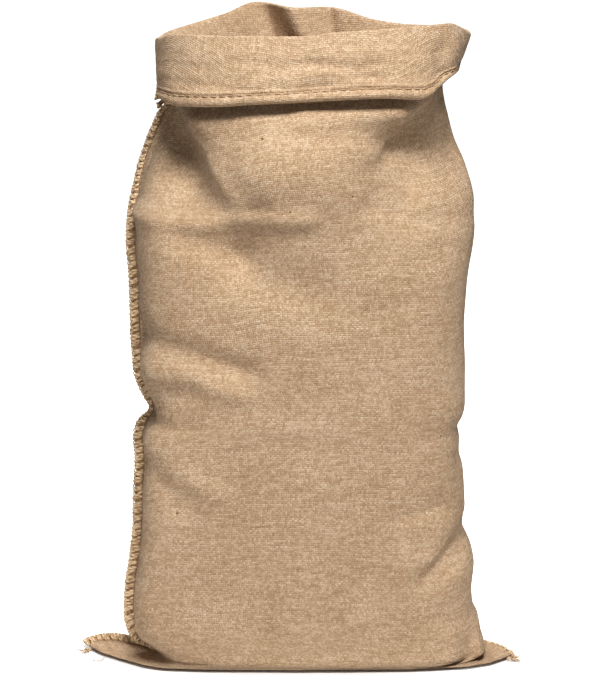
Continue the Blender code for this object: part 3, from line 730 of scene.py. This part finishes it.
def floor_rows():
    """The cloth from the bottom fold to the foot of the wall."""
    foot, _, _ = level(0.0)
    fold = along(FOLD_LINE, PANEL_STEPS)
    fold = np.concatenate([fold, fold[-2:0:-1]])
    on_back = station > PANEL_STEPS
    step = np.linalg.norm(foot[1] - foot[0])
    from_left = np.minimum(station, STATIONS - station) * step
    from_right = np.abs(station - PANEL_STEPS) * step
    rows = []
    for share in FLOOR_SHARES:
        ring = points(fold + (foot - fold) * share, 0.0)
        top = FOLD_HEIGHT + (EAR_THICK - FOLD_HEIGHT) * min(1.0, share / THICKENS)
        under = FLOOR_LIFT + (FOLD_HEIGHT - FLOOR_LIFT) * max(0.0, 1.0 - share / UNDER_ROLL) ** 2
        ring[:, 2] = np.where(on_back & (share > 0), under, top + (SKIRT_TOP - EAR_THICK) * share**4)
        for reach, bow in ((from_left, LEFT_EAR_BOW), (from_right, RIGHT_EAR_BOW)):
            fade = np.exp(-((reach / BOW_REACH) ** 2)) * math.sin(math.pi * share**0.7)
            ring += np.where(on_back, 0.0, fade)[:, None] * np.array(bow)
        rows.append(ring)
    return rows


floor_cloth = floor_rows()
print("rows on the floor:", len(floor_cloth))

# %% Join the rows into one sheet
EVENED = 4  # lengths up the cloth are evened out over this many stations on each side


def sheet_map(rows):
    """Metres across and along the cloth at each point, for the weave to follow."""
    steps = np.array([np.linalg.norm(second - first, axis=1) for first, second in zip(rows, rows[1:])])
    up = np.vstack([np.zeros(STATIONS), np.cumsum(steps, axis=0)])
    window = np.ones(2 * EVENED + 1) / (2 * EVENED + 1)
    wide = np.hstack([up[:, -EVENED:], up, up[:, :EVENED]])
    return np.array([np.convolve(row, window, mode="valid") for row in wide])


def add_uv(mesh, uvs):
    mesh.uv_layers.new(name="cloth").data.foreach_set("uv", np.ravel(uvs))


def mend(mesh, how):
    """Runs one bmesh step on the mesh."""
    work = bmesh.new()
    work.from_mesh(mesh)
    how(work)
    work.to_mesh(mesh)
    work.free()


def drop_loose_points(work):
    bmesh.ops.delete(work, geom=[v for v in work.verts if not v.link_faces], context="VERTS")


def make_sheet(name, rows, width):
    """Two panels that share only the bottom fold: at the sides they are cut edges, which the twine holds."""
    wide = PANEL_STEPS + 1
    panels = (station[:wide], np.append(station[PANEL_STEPS:], 0))
    verts = np.concatenate([row[panel] for row in rows for panel in panels])
    folded = {wide + i: PANEL_STEPS - i for i in range(wide)}
    up = sheet_map(rows)
    faces, corners = [], []
    for k in range(len(rows) - 1):
        for p, panel in enumerate(panels):
            for i in range(PANEL_STEPS):
                ends = ((k, i), (k, i + 1), (k + 1, i + 1), (k + 1, i))
                spots = [(2 * r + p) * wide + s for r, s in ends]
                faces.append([folded.get(spot, spot) for spot in spots])
                for r, s in ends:
                    corners.append(((s / PANEL_STEPS + p) * width, up[r, panel[s]] * (1 - 2 * p)))
    mesh = bpy.data.meshes.new(name)
    mesh.from_pydata(verts.tolist(), [], faces)
    add_uv(mesh, corners)
    mesh.shade_smooth()
    mend(mesh, drop_loose_points)
    return add_object(name, mesh)


PANEL_WIDE = 0.50
all_rows = floor_cloth + wall + rows_over_rim + cuff
cloth = make_sheet("sack_cloth_woven", all_rows, PANEL_WIDE)
cloth.data.materials.append(hessian)
sheet_length = float(sheet_map(all_rows)[-1].mean())
print("cloth:", len(cloth.data.polygons), "faces, a panel is", round(sheet_length, 3), "m long")
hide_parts("sack_cloth")
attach(cloth, "root")

# %% [markdown]
# ## Where the side seams run
# Each seam is a line up the side of the sack, with a direction in which the two raw edges stand out from
# it. The left one lies along its ear, turns up the wall and leans back at the neck; the right one is turned
# to the back. Both lines come from the sheet itself, so that the twine can't miss the cloth that it sews.

# %% Find the seams
SEAM_WIDE = 0.0105
SEAM_TOP = 0.624
GUIDE_STEP = 0.002
SEAM_LOWEST = 0.0032
SEAM_TURN_UP = 0.018
EAR_SNUG = 0.66  # how wide the band is on the ears, as a share of its width on the wall
SEAM_TURN_COLUMNS = ("height", "left", "right")
SEAM_TURN = (  # degrees from straight out sideways (0) to straight back (90)
    (0.000, -60.0, 88.0),
    (0.030, -8.0, 88.0),
    (0.120, 8.0, 88.0),
    (0.252, 12.0, 88.0),
    (0.275, 62.0, 88.0),
    (0.302, 12.0, 88.0),
    (0.460, 15.0, 88.0),
    (0.510, 44.0, 88.0),
    (0.560, 52.0, 88.0),
    (0.620, 54.0, 88.0),
)
EAR_SEAM_SHARES = (0.0, 0.5, 0.8, 1.0)  # shares of the way from the tip of the ear to the foot of the wall
EAR_SEAM_OUT = {
    "left": ((0.0, 0.8, 0.5), (0.0, 0.2, 0.95), (0.1, -0.5, 0.8), (0.2, -0.95, 0.15)),
    "right": ((0.0, 0.9, 0.1), (0.0, 0.5, -0.8), (0.0, 0.6, -0.7), (0.0, 1.0, 0.0)),
}


def seam_line(side, step):
    """Points up a seam, the way it runs, and the way its edges stand out, shorter where it is narrow."""
    at = 0 if side == "left" else PANEL_STEPS
    ear = np.array([row[at] for row in floor_cloth])
    route = np.concatenate([ear, [row[at] for row in wall if row[at][2] <= SEAM_TOP]])
    route = along(route, round(line_length(route) / step))
    sign = -1.0 if side == "left" else 1.0
    heights = column(SEAM_TURN, SEAM_TURN_COLUMNS, "height")
    turn = np.radians(smooth(heights, column(SEAM_TURN, SEAM_TURN_COLUMNS, side), route[:, 2]))
    on_wall = np.column_stack([sign * np.cos(turn), np.sin(turn), np.zeros(len(route))])
    gone = np.linspace(0.0, line_length(route), len(route))
    share = np.clip(gone / line_length(ear), 0.0, 1.0)
    flat = [smooth(EAR_SEAM_SHARES, values, share) for values in zip(*EAR_SEAM_OUT[side])]
    on_ear = np.column_stack([-sign * flat[0], flat[1], flat[2]])
    risen = smooth((0.0, 1.0), (0.0, 1.0), (gone - line_length(ear)) / SEAM_TURN_UP)[:, None]
    out = on_ear * (1 - risen) + on_wall * risen
    way = np.gradient(route, axis=0)
    way /= np.linalg.norm(way, axis=1, keepdims=True)
    out -= way * np.sum(out * way, axis=1, keepdims=True)
    snug = EAR_SNUG + (1.0 - EAR_SNUG) * risen
    return route, way, out / np.linalg.norm(out, axis=1, keepdims=True) * snug


SIDES = ("left", "right")
for side in SIDES:
    print(side, "seam:", round(line_length(seam_line(side, GUIDE_STEP)[0]), 3), "m")

# %% [markdown]
# ## The raw edges inside the overcasting
# Under the twine lie the two cut edges of the cloth, pressed together. They are a narrow band with a ragged
# outer edge, made as one closed strip. Its finish is darker than the sack's: partly dust and handling, and
# partly painted shade for the little light that gets in between the turns of the twine.

# %% Make the raw edges
EDGE_WIDE = 0.0082
EDGE_THICK = 0.0026
EDGE_RAGGED = 0.0014
EDGE_STEP = 0.0030
EDGE_RELIEF = 0.0006
UNDERSIDE = 0.3  # metres from the top of the strip to its underside on the UV map
EDGE_SECTION = ((-0.12, 0.5), (0.55, 0.5), (0.95, 0.22), (0.95, -0.22), (0.55, -0.5), (-0.12, -0.5))


def finish_piece(piece, material, replaced=None):
    """Every piece gets its finish and goes with the sack."""
    piece.data.materials.clear()
    piece.data.materials.append(material)
    if replaced:
        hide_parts(replaced)
    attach(piece, "root")


def tube_faces(first, rings, sides):
    """The faces of a closed tube, between its rings and over both ends."""
    last = first + (rings - 1) * sides
    faces = []
    for ring in range(first, last, sides):
        for i in range(sides):
            a, b = ring + i, ring + (i + 1) % sides
            faces.append((a, b, b + sides, a + sides))
    return faces + [tuple(range(first, first + sides))[::-1], tuple(range(last, last + sides))]


def make_raw_edges(side):
    """A closed strip: six corners to a section, from inside the seam to the ragged edge."""
    route, way, out = seam_line(side, EDGE_STEP)
    verts, uvs = [], []
    for k, (spot, along_it, away) in enumerate(zip(route, way, out)):
        ragged = 1.0 + EDGE_RAGGED / EDGE_WIDE * noise.noise(Vector((k * 0.73, 0.0, 7.0)))
        thick = np.cross(along_it, away)
        for reach, up in EDGE_SECTION:
            vert = spot + away * EDGE_WIDE * reach * ragged + thick * EDGE_THICK * up
            vert[2] = max(vert[2], FLOOR_LIFT)
            verts.append(vert)
            uvs.append((reach * EDGE_WIDE + (UNDERSIDE if up < 0 else 0.0), k * EDGE_STEP))
    mesh = bpy.data.meshes.new("raw_edges_" + side)
    mesh.from_pydata([tuple(vert) for vert in verts], [], tube_faces(0, len(route), len(EDGE_SECTION)))
    add_uv(mesh, [uvs[loop.vertex_index] for loop in mesh.loops])
    mend(mesh, lambda work: bmesh.ops.recalc_face_normals(work, faces=work.faces))
    mesh.shade_smooth()
    return add_object("raw_edges_" + side, mesh)


def make_raw_edge_finish(name):
    material, board, shader = new_material(name)
    grain = board.noise(board.add("ShaderNodeTexCoord", output="Object"), 700.0, 3.0)
    # Deep tan to mid tan: dust on the edges, and painted shade for the dark between the turns of twine.
    feed(board, shader, "Base Color", board.blend(board.spread(grain, 0.35, 0.65), DEEP_TAN, MID_TAN))
    feed(board, shader, "Normal", board.bump(grain, EDGE_RELIEF))
    return material


raw_edge_finish = make_raw_edge_finish("dusty_and_shaded_raw_edge")
for side in SIDES:
    finish_piece(make_raw_edges(side), raw_edge_finish, "overcast_seam_" + side)
print("raw edges:", EDGE_WIDE * 1000, "mm wide")

# %% [markdown]
# ## Twisted jute twine
# Twine is two plies twisted together, hairy and uneven. The twist shows as slanting grooves, in relief and
# as painted shade that darkens them. Every length of twine in this file is a swept tube that carries two
# attributes, how far along it a point lies and which way round, and the finish works the grooves out from
# those, so they follow each bend.

# %% Finish the twine
TWIST_LENGTH = 0.0060
TWINE_RELIEF = 0.0004
TWINE_DARK = (0.200, 0.110, 0.050, 1.0)
TWINE_MID = (0.740, 0.530, 0.330, 1.0)
TWINE_PALE = (1.000, 0.850, 0.620, 1.0)


def make_twine_finish(name, brightness):
    material, board, shader = new_material(name)
    along_it = board.add("ShaderNodeAttribute", output="Fac", attribute_name="along")
    turned = board.add("ShaderNodeAttribute", output="Vector", attribute_name="around")
    parts = board.add("ShaderNodeSeparateXYZ", [turned])
    angle = parts.maths("ARCTAN2", parts.output("Y"))
    ply = ((angle * 2.0 + along_it * (2 * math.pi / TWIST_LENGTH)).maths("COSINE") + 1.0) * 0.5
    where = board.add("ShaderNodeTexCoord", output="Object")
    fibre = board.noise(where, 1500.0, 3.0)
    stretch = board.noise(where, 90.0, 2.0)
    # The ply term darkens the colour in the twist's grooves: painted shade.
    shade = (ply * 0.30 + fibre * 0.65 + stretch * 0.60 - 0.25) * brightness
    colour = board.blend(board.spread(shade, 0.10, 0.55), TWINE_DARK, TWINE_MID)
    colour = board.blend(board.spread(shade, 0.45, 0.95), colour, TWINE_PALE)
    feed(board, shader, "Base Color", colour)
    feed(board, shader, "Normal", board.bump(ply.maths("SQRT") + fibre * 0.3, TWINE_RELIEF))
    return material


twine_finish = make_twine_finish("twisted_jute_twine", 1.0)
fibre_finish = make_twine_finish("loose_jute_fibre", 0.95)
sewing_finish = make_twine_finish("brown_sewing_thread", 0.62)
# The seam's tail, which pokes out under the corner of the cuff, gets a darker twine.
tail_finish = make_twine_finish("darker_twine_end", 0.55)
print("twist:", TWIST_LENGTH * 1000, "mm a turn")

# %% [markdown]
# ## Overcasting with Geometry Nodes
# Overcasting is a stitch that winds over the edge again and again, so it is a helix about the seam. The
# seam is given as a line of points with two directions stored on them, out of the seam and across it. The
# tree winds each strand about that line and sweeps a round section along it. All sizes are named inputs, so
# the same tree also makes the thin cord that lies along the outer edge.

# %% Helpers for node trees
SOCKETS = {float: "NodeSocketFloat", int: "NodeSocketInt", bpy.types.Material: "NodeSocketMaterial"}


def new_tree(name, sizes):
    """A Geometry Nodes tree with a geometry input and a named input for each size, of the size's own kind."""
    tree = bpy.data.node_groups.new(name, "GeometryNodeTree")
    tree.interface.new_socket("Geometry", in_out="INPUT", socket_type="NodeSocketGeometry")
    tree.interface.new_socket("Geometry", in_out="OUTPUT", socket_type="NodeSocketGeometry")
    for size, value in sizes.items():
        tree.interface.new_socket(size, in_out="INPUT", socket_type=SOCKETS[type(value)])
    board = Board(tree)
    entry = board.add("NodeGroupInput", output="Geometry")
    return tree, board, entry


def end_tree(board, geometry, material):
    """Instances made real and given their finish, at the end of every tree."""
    real = board.add("GeometryNodeRealizeInstances", [geometry])
    smooth_faces = board.add("GeometryNodeSetShadeSmooth", {"Geometry": real})
    dressed = board.add("GeometryNodeSetMaterial", {"Geometry": smooth_faces, "Material": material})
    board.tree.links.new(dressed.socket, board.tree.nodes.new("NodeGroupOutput").inputs[0])


def grow(name, tree, guide, values):
    """Runs a tree on a guide and keeps the result as a plain mesh, off the floor. The guide is removed."""
    modifier = guide.modifiers.new(name, "NODES")
    modifier.node_group = tree
    sockets = {item.name: item.identifier for item in tree.interface.items_tree if item.in_out == "INPUT"}
    for size, value in values.items():
        modifier[sockets[size]] = value
    graph = bpy.context.evaluated_depsgraph_get()
    mesh = bpy.data.meshes.new_from_object(guide.evaluated_get(graph))
    mesh.name = name
    spots = np.array([vertex.co for vertex in mesh.vertices])
    spots[:, 2] = np.maximum(spots[:, 2], FLOOR_LIFT)
    mesh.vertices.foreach_set("co", spots.ravel())
    bpy.data.objects.remove(guide, do_unlink=True)
    return add_object(name, mesh)


def guide_line(name, spots, **directions):
    """A line of points for a tree to work along, with directions stored on its points."""
    mesh = bpy.data.meshes.new(name)
    mesh.from_pydata([tuple(spot) for spot in spots], [(k, k + 1) for k in range(len(spots) - 1)], [])
    for label, vectors in directions.items():
        layer = mesh.attributes.new(label, "FLOAT_VECTOR", "POINT")
        layer.data.foreach_set("vector", np.array(vectors, float).ravel())
    return add_object(name, mesh)


def store(board, kind, geometry, name, value):
    inputs = {"Geometry": geometry, "Name": name, "Value": value}
    return board.add("GeometryNodeStoreNamedAttribute", inputs, data_type=kind, domain="POINT")


def swept(board, curve, radius, sides):
    """A tube along a curve, with how far along and which way round stored for the twine finish."""
    curve = store(board, "FLOAT", curve, "along", board.add("GeometryNodeSplineParameter", output="Length"))
    ring = board.add("GeometryNodeCurvePrimitiveCircle", {"Resolution": sides, "Radius": 1.0})
    ring = store(board, "FLOAT_VECTOR", ring, "around", board.add("GeometryNodeInputPosition"))
    scale = board.vector(radius, radius, radius)
    ring = board.add("GeometryNodeTransform", {"Geometry": ring, "Scale": scale})
    inputs = {"Curve": curve, "Profile Curve": ring, "Fill Caps": True}
    return board.add("GeometryNodeCurveToMesh", inputs)


def steps_along(board, guide, step):
    """The guide line as a curve with a point at each step."""
    line = board.add("GeometryNodeMeshToCurve", [guide])
    return board.add("GeometryNodeResampleCurve", {"Curve": line, "Length": step}, mode="LENGTH")


def bent(board, resolution, places):
    """A short curve from its start, two handles and end."""
    inputs = dict(zip(("Start", "Start Handle", "End Handle", "End"), places), Resolution=resolution)
    return board.add("GeometryNodeCurvePrimitiveBezierSegment", inputs, mode="POSITION")


def scatter(board, points, instance, rotation, scale):
    inputs = {"Points": points, "Instance": instance, "Rotation": rotation, "Scale": scale}
    return board.add("GeometryNodeInstanceOnPoints", inputs)


def turn_within(board, rotation, turn):
    return board.add("FunctionNodeRotateRotation", [rotation, turn], rotation_space="LOCAL")


print("node helpers ready")

# %% Wind the twine
OVERCASTING = {
    "Turn": 0.0086, "Strands": 2, "Strand Gap": 0.0028, "Half Width": 0.0041, "Half Thickness": 0.0015,
    "Twine Radius": 0.0018, "Looseness": 0.0026, "Step": 0.00075, "Sides": 6, "Material": twine_finish,
}
EDGE_CORD = {
    "Turn": 0.0090, "Strands": 2, "Strand Gap": 0.0045, "Half Width": 0.0012, "Half Thickness": 0.0012,
    "Twine Radius": 0.0008, "Looseness": 0.0010, "Step": 0.0012, "Sides": 5, "Material": twine_finish,
}
TURN_STRAY = 0.9  # how far the winding gets ahead or behind, in turns
WIDTH_LEAST, WIDTH_MORE = 0.60, 0.80  # the width's share where the noise is 0, and what it adds at 1
RADIUS_LEAST, RADIUS_MORE = 0.4, 1.2  # and the same of the radius
TWINE_SINKS = 0.0004  # the twine's middle line lies this much nearer the seam than half the band's width


def winding_tree():
    tree, board, entry = new_tree("overcasting", OVERCASTING)
    line = steps_along(board, entry, entry.output("Step"))
    amount = {"Geometry": line, "Amount": entry.output("Strands")}
    copies = board.add("GeometryNodeDuplicateElements", amount, domain="SPLINE")
    gone = board.add("GeometryNodeSplineParameter", output="Length")
    place = board.add("GeometryNodeInputPosition")
    stray = board.noise(place, 120.0, 1.0)
    shifted = gone + copies.output("Duplicate Index") * entry.output("Strand Gap")
    turned = (shifted / entry.output("Turn") + (stray - 0.5) * TURN_STRAY) * (2 * math.pi)
    wide = turned.maths("COSINE") * entry.output("Half Width") * (WIDTH_LEAST + stray * WIDTH_MORE)
    thick = turned.maths("SINE") * entry.output("Half Thickness")
    offset = board.vectors("SCALE", {"Vector": board.direction("out"), "Scale": wide})
    lift = board.vectors("SCALE", {"Vector": board.direction("side"), "Scale": thick})
    offset = board.vectors("ADD", [offset, lift])
    loose = board.vectors("SUBTRACT", [board.noise(place, 400.0, 1.0).output("Color"), (0.5, 0.5, 0.5)])
    loose = board.vectors("SCALE", {"Vector": loose, "Scale": entry.output("Looseness")})
    offset = board.vectors("ADD", [offset, loose])
    wound = board.add("GeometryNodeSetPosition", {"Geometry": copies, "Offset": offset})
    plump = board.noise(place, 300.0, 1.0) * RADIUS_MORE + RADIUS_LEAST
    wound = board.add("GeometryNodeSetCurveRadius", {"Curve": wound, "Radius": plump})
    tube = swept(board, wound, entry.output("Twine Radius"), entry.output("Sides"))
    end_tree(board, tube, entry.output("Material"))
    return tree


overcasting = winding_tree()


def wind(name, side, away, sizes):
    """The winding about a line that lies this far outside the seam."""
    route, way, out = seam_line(side, GUIDE_STEP)
    spots = route + out * away
    spots[:, 2] = np.maximum(spots[:, 2], SEAM_LOWEST)
    guide = guide_line(name + "_guide", spots, out=out, side=np.cross(way, out))
    piece = grow(name, overcasting, guide, sizes)
    finish_piece(piece, twine_finish, "overcast_seam_" + side)
    print(name, len(piece.data.polygons), "faces")


for side in SIDES:
    wind("overcasting_" + side, side, SEAM_WIDE / 2 - TWINE_SINKS, OVERCASTING)
    wind("edge_cord_" + side, side, SEAM_WIDE - EDGE_CORD["Half Width"], EDGE_CORD)

# %% [markdown]
# ## Sewing along the hem
# The hem is held by a row of running stitches in thick thread. Each shows as a short raised dash between
# two holes. Points at even steps along the row carry one small stitch each, turned to the way of the row,
# with a little difference in length and slant so that the row looks sewn by hand-fed machine and not drawn.

# %% Sew the hem
HEM_STITCH = {"Pitch": 0.0098, "Length": 0.0082, "Radius": 0.00060, "Slant": 0.10, "Seed": 4,
              "Material": sewing_finish}
HEM_STITCH_UP = 0.0094
HEM_STITCH_OUT = 0.0010
STITCH_STRETCH = (0.84, 1.12)


def stitching_tree():
    tree, board, entry = new_tree("hem_stitching", HEM_STITCH)
    line = steps_along(board, entry, entry.output("Pitch"))
    align = "FunctionNodeAlignRotationToVector"
    turned = board.add(align, {"Vector": board.add("GeometryNodeInputTangent")}, axis="X")
    inputs = {"Rotation": turned, "Vector": board.direction("out")}
    turned = board.add(align, inputs, axis="Z", pivot_axis="X")
    half, lift = entry.output("Length") * 0.5, entry.output("Radius") * 1.1
    reach_and_rise = ((-1.0, -1.0), (-0.7, 0.9), (0.7, 0.9), (1.0, -1.0))
    arc = bent(board, 7, [board.vector(half * reach, 0.0, lift * rise) for reach, rise in reach_and_rise])
    stitch = swept(board, arc, entry.output("Radius"), 6)
    slant, seed = entry.output("Slant"), entry.output("Seed")
    angle = board.random(slant * -1.0, slant, seed)
    spin = board.add("FunctionNodeAxisAngleToRotation", {"Axis": (0.0, 0.0, 1.0), "Angle": angle})
    stretch = board.vector(board.random(*STITCH_STRETCH, seed + 1), 1.0, 1.0)
    placed = scatter(board, line, stitch, turn_within(board, turned, spin), stretch)
    end_tree(board, placed, entry.output("Material"))
    return tree


once_round = np.append(station, 0)
stitch_row = cuff_place(1.0 - HEM_STITCH_UP / float(drop.mean()), HEM_STITCH_OUT)[once_round]
stitch_guide = guide_line("hem_guide", stitch_row, out=points(hem_out, 0.0)[once_round])
stitches = grow("hem_stitches", stitching_tree(), stitch_guide, HEM_STITCH)
finish_piece(stitches, sewing_finish)
print("hem stitches:", len(stitches.data.polygons), "faces")

# %% [markdown]
# ## Loose ends
# Where the sewing begins and ends, the twine and the cut threads come loose: a curled knot at the tip of
# the left ear, a short frayed brush at the right one, and the tail of the side seam that pokes out under
# the corner of the cuff. They are few and each is different, so they are drawn as lines of points, and one
# loop spreads a small brush of threads about each line.

# %% Draw the loose ends
THREAD_SIDES = 5
THREAD_END = 0.55  # the radius at a thread's ends, as a share of the rest
FIRST_ACROSS = (0.3, 0.1, 0.9)  # a direction that no thread starts in


def threads_piece(name, lines, radius):
    """Thin tubes along lines of points, as one mesh with the twine's attributes."""
    turns = [2 * math.pi * k / THREAD_SIDES for k in range(THREAD_SIDES)]
    ring = [(math.cos(turn), math.sin(turn)) for turn in turns]
    verts, faces, gone_at, turned_at = [], [], [], []
    for line in lines:
        line = np.asarray(line, float)
        line[:, 2] = np.maximum(line[:, 2], FLOOR_LIFT + radius)
        way = np.gradient(line, axis=0)
        way /= np.linalg.norm(way, axis=1, keepdims=True) + 1e-12
        across = np.cross(way[0], FIRST_ACROSS)
        first, gone = len(verts), 0.0
        for k, spot in enumerate(line):
            across = across - way[k] * (across @ way[k])
            across /= np.linalg.norm(across)
            up = np.cross(way[k], across)
            thin = radius * (1.0 if 0 < k < len(line) - 1 else THREAD_END)
            gone += float(np.linalg.norm(spot - line[k - 1])) if k else 0.0
            for x, y in ring:
                verts.append(spot + (across * x + up * y) * thin)
                gone_at.append(gone)
                turned_at.append((x, y, 0.0))
        faces += tube_faces(first, len(line), THREAD_SIDES)
    mesh = bpy.data.meshes.new(name)
    mesh.from_pydata([tuple(vert) for vert in verts], [], faces)
    mesh.attributes.new("along", "FLOAT", "POINT").data.foreach_set("value", gone_at)
    mesh.attributes.new("around", "FLOAT_VECTOR", "POINT").data.foreach_set("vector", np.ravel(turned_at))
    mesh.shade_smooth()
    return add_object(name, mesh)


def curved(places, steps=14):
    """A smooth line through a few places, each passed in the direction from the last one to the next."""
    spots = metres(places)
    ends = np.concatenate([[2 * spots[0] - spots[1]], spots, [2 * spots[-1] - spots[-2]]])
    at = np.linspace(0.0, len(spots) - 1.0, steps)
    k = np.minimum(at.astype(int), len(spots) - 2)
    t = (at - k)[:, None]
    before, first, second, after = (ends[k + n] for n in range(4))
    rise = second - before + t * (2 * before - 5 * first + 4 * second - after)
    return first + 0.5 * t * (rise + t * t * (3 * first - before - 3 * second + after))


def brush(line, count, spread, seed, shortest=0.5):
    """A few threads that start together along the line and part towards its end."""
    chance = np.random.default_rng(seed)
    lines = []
    for _ in range(count):
        reach = chance.uniform(shortest, 1.0)
        part = line[: max(4, round(len(line) * reach))]
        gone = np.linspace(0.0, 1.0, len(part))[:, None]
        bend = chance.normal(0.0, spread, (3, 3))
        wave = bend[0] * gone + bend[1] * np.sin(gone * 5.0) * gone + bend[2] * gone**2
        lines.append(part + wave)
    return lines


# The lines of the loose ends, in millimetres.
CUFF_TAIL = ((-144, -40, 623), (-150, -44, 625), (-155, -46, 623.5))
CUFF_TAIL_TOO = ((-145, -40, 621), (-150, -44, 618), (-152, -45, 614))
LEFT_CURL = ((-230, -22, 4), (-237, -19, 5), (-240.5, -16, 7.5), (-239, -14, 10), (-235.5, -15, 9.5),
             (-235, -18, 6.5), (-238.5, -19, 4))
LEFT_TAIL = ((-234, -26, 2), (-240, -30, 1.6), (-244, -31, 1.4))
FLOOR_CURL = ((-218, -48, 1), (-219, -60, 1), (-223, -65, 1), (-228, -64, 1), (-230, -60, 1))
RIGHT_TIP = ((230, -60, 3), (238, -57, 3), (243, -52, 2.4))
RIGHT_TIP_TOO = ((229, -64, 3), (237, -65, 2.6), (242, -66, 1.6))

tail = brush(curved(CUFF_TAIL), 9, 0.0010, 1, 0.7) + brush(curved(CUFF_TAIL_TOO), 7, 0.0009, 2, 0.7)
left_end = brush(curved(LEFT_CURL, 22), 5, 0.0009, 3, 0.8) + brush(curved(LEFT_TAIL), 9, 0.0022, 4)
right_end = brush(curved(RIGHT_TIP), 9, 0.0020, 5) + brush(curved(RIGHT_TIP_TOO), 9, 0.0020, 6)
LOOSE_ENDS = (  # name, lines, radius, finish
    ("seam_tail_at_cuff", tail, 0.0013, tail_finish),
    ("left_ear_fray", left_end, 0.0006, twine_finish),
    ("right_ear_fray", right_end, 0.0005, twine_finish),
    ("loose_thread_on_floor", [curved(FLOOR_CURL, 20)], 0.00035, fibre_finish),
)
for name, lines, radius, finish in LOOSE_ENDS:
    finish_piece(threads_piece(name, lines, radius), finish)
print("loose ends:", [row[0] for row in LOOSE_ENDS])

# %% [markdown]
# ## Fibres that stand off the cloth
# Jute is hairy. A thin fuzz of short bent fibres breaks the clean outline of the sheet, and it is thickest
# along the seams. The tree scatters points over a surface by a fixed seed, and each carries one bent hair.

# %% Grow the fibres
FUZZ_SIZES = ("Per Square Metre", "Hair Length", "Hair Radius", "Seed", "Material")
FUZZ = (  # name, what it grows on, and the tree's sizes
    ("cloth_fuzz", "sack_cloth_woven", 2600.0, 0.0050, 0.00009, 11, fibre_finish),
    ("left_seam_fuzz", "raw_edges_left", 45000.0, 0.0075, 0.00011, 12, fibre_finish),
    ("right_seam_fuzz", "raw_edges_right", 30000.0, 0.0065, 0.00011, 13, fibre_finish),
)
HAIR_ROOT = (0.0, 0.0, -0.0003)
HAIR_BEND = ((0.0, 0.0, 0.30), (0.35, 0.15, 0.35), (0.85, -0.10, 0.30))  # two handles and the end, in lengths
HAIR_SPIN = {"Min": (-0.6, -0.6, 0.0), "Max": (0.6, 0.6, 6.28)}
HAIR_SCALE = (0.35, 1.3)


def fuzz_tree(sizes):
    tree, board, entry = new_tree("fuzz", sizes)
    seed, reach = entry.output("Seed"), entry.output("Hair Length")
    inputs = {"Mesh": entry, "Density": entry.output("Per Square Metre"), "Seed": seed}
    scattered = board.add("GeometryNodeDistributePointsOnFaces", inputs, distribute_method="RANDOM")
    bend = [board.vector(reach * x, reach * y, reach * z) for x, y, z in HAIR_BEND]
    hair = swept(board, bent(board, 5, [HAIR_ROOT, *bend]), entry.output("Hair Radius"), 3)
    spin = board.add("FunctionNodeRandomValue", {**HAIR_SPIN, "Seed": seed}, data_type="FLOAT_VECTOR")
    spin = board.add("FunctionNodeEulerToRotation", [spin])
    turned = turn_within(board, scattered.output("Rotation"), spin)
    size = board.random(*HAIR_SCALE, seed + 7)
    placed = scatter(board, scattered, hair, turned, board.vector(size, size, size))
    end_tree(board, placed, entry.output("Material"))
    return tree


fuzz = fuzz_tree(dict(zip(FUZZ_SIZES, FUZZ[0][2:])))
for name, grows_on, *sizes in FUZZ:
    guide = add_object(name + "_guide", bpy.data.objects[grows_on].data.copy())
    piece = grow(name, fuzz, guide, dict(zip(FUZZ_SIZES, sizes)))
    finish_piece(piece, fibre_finish)
    print(name, len(piece.data.polygons), "faces")

# %% [markdown]
# ## A white studio floor
# The sack stands on a plain pale floor that runs out of sight. The camera sees it white through a painted
# glow, which fades out in a band about the foot of the sack, where only the real light falls on it and its
# contact shadow shows. The light that it throws back on the sack is that of a greyer paper.

# %% Lay the floor
FLOOR_SIDE = 60.0
GLOW_MIDDLE = (0.0, -0.035, 0.0)
GLOW_SPAN = (0.262, 0.085, 1.0)  # the foot of the sack ends about here, left and right and front and back
GLOW_FROM, GLOW_TO = 0.92, 1.12  # in spans
GLOW_LIGHT = (0.02, 0.90)  # its strength there
NEAR, FAR = (0.95, 0.95, 0.95, 1.0), (0.45, 0.45, 0.45, 1.0)  # the paper that lights the sack
FADE = (1.5, 8.0)  # from near to far, in spans
bpy.ops.mesh.primitive_plane_add(size=FLOOR_SIDE)
floor = bpy.context.object
floor.name = "studio_floor"
paper, board, shader = new_material("pale_floor")
shader.inputs["Sheen Weight"].default_value = 0.0
place = board.vectors("SUBTRACT", [board.add("ShaderNodeTexCoord", output="Object"), GLOW_MIDDLE])
away = board.vectors("LENGTH", [board.vectors("DIVIDE", [place, GLOW_SPAN])], "Value")
feed(board, shader, "Base Color", board.blend(board.spread(away, *FADE), NEAR, FAR))
# Painted light: the floor glows for the camera, faintly at the foot of the sack and white further out.
glow = board.spread(away, GLOW_FROM, GLOW_TO, *GLOW_LIGHT)
seen = board.add("ShaderNodeLightPath", output="Is Camera Ray")
bright = board.add("ShaderNodeBsdfDiffuse", {"Color": (0.80, 0.80, 0.80, 1.0)})
lift = board.add("ShaderNodeEmission", {"Color": (1.0, 1.0, 1.0, 1.0), "Strength": glow})
lit = board.add("ShaderNodeAddShader", [bright, lift])
mixed = board.add("ShaderNodeMixShader", [seen, Value(board, shader, "BSDF"), lit])
board.tree.links.new(mixed.socket, paper.node_tree.nodes["Material Output"].inputs["Surface"])
floor.data.materials.append(paper)
print("floor:", FLOOR_SIDE, "m square")
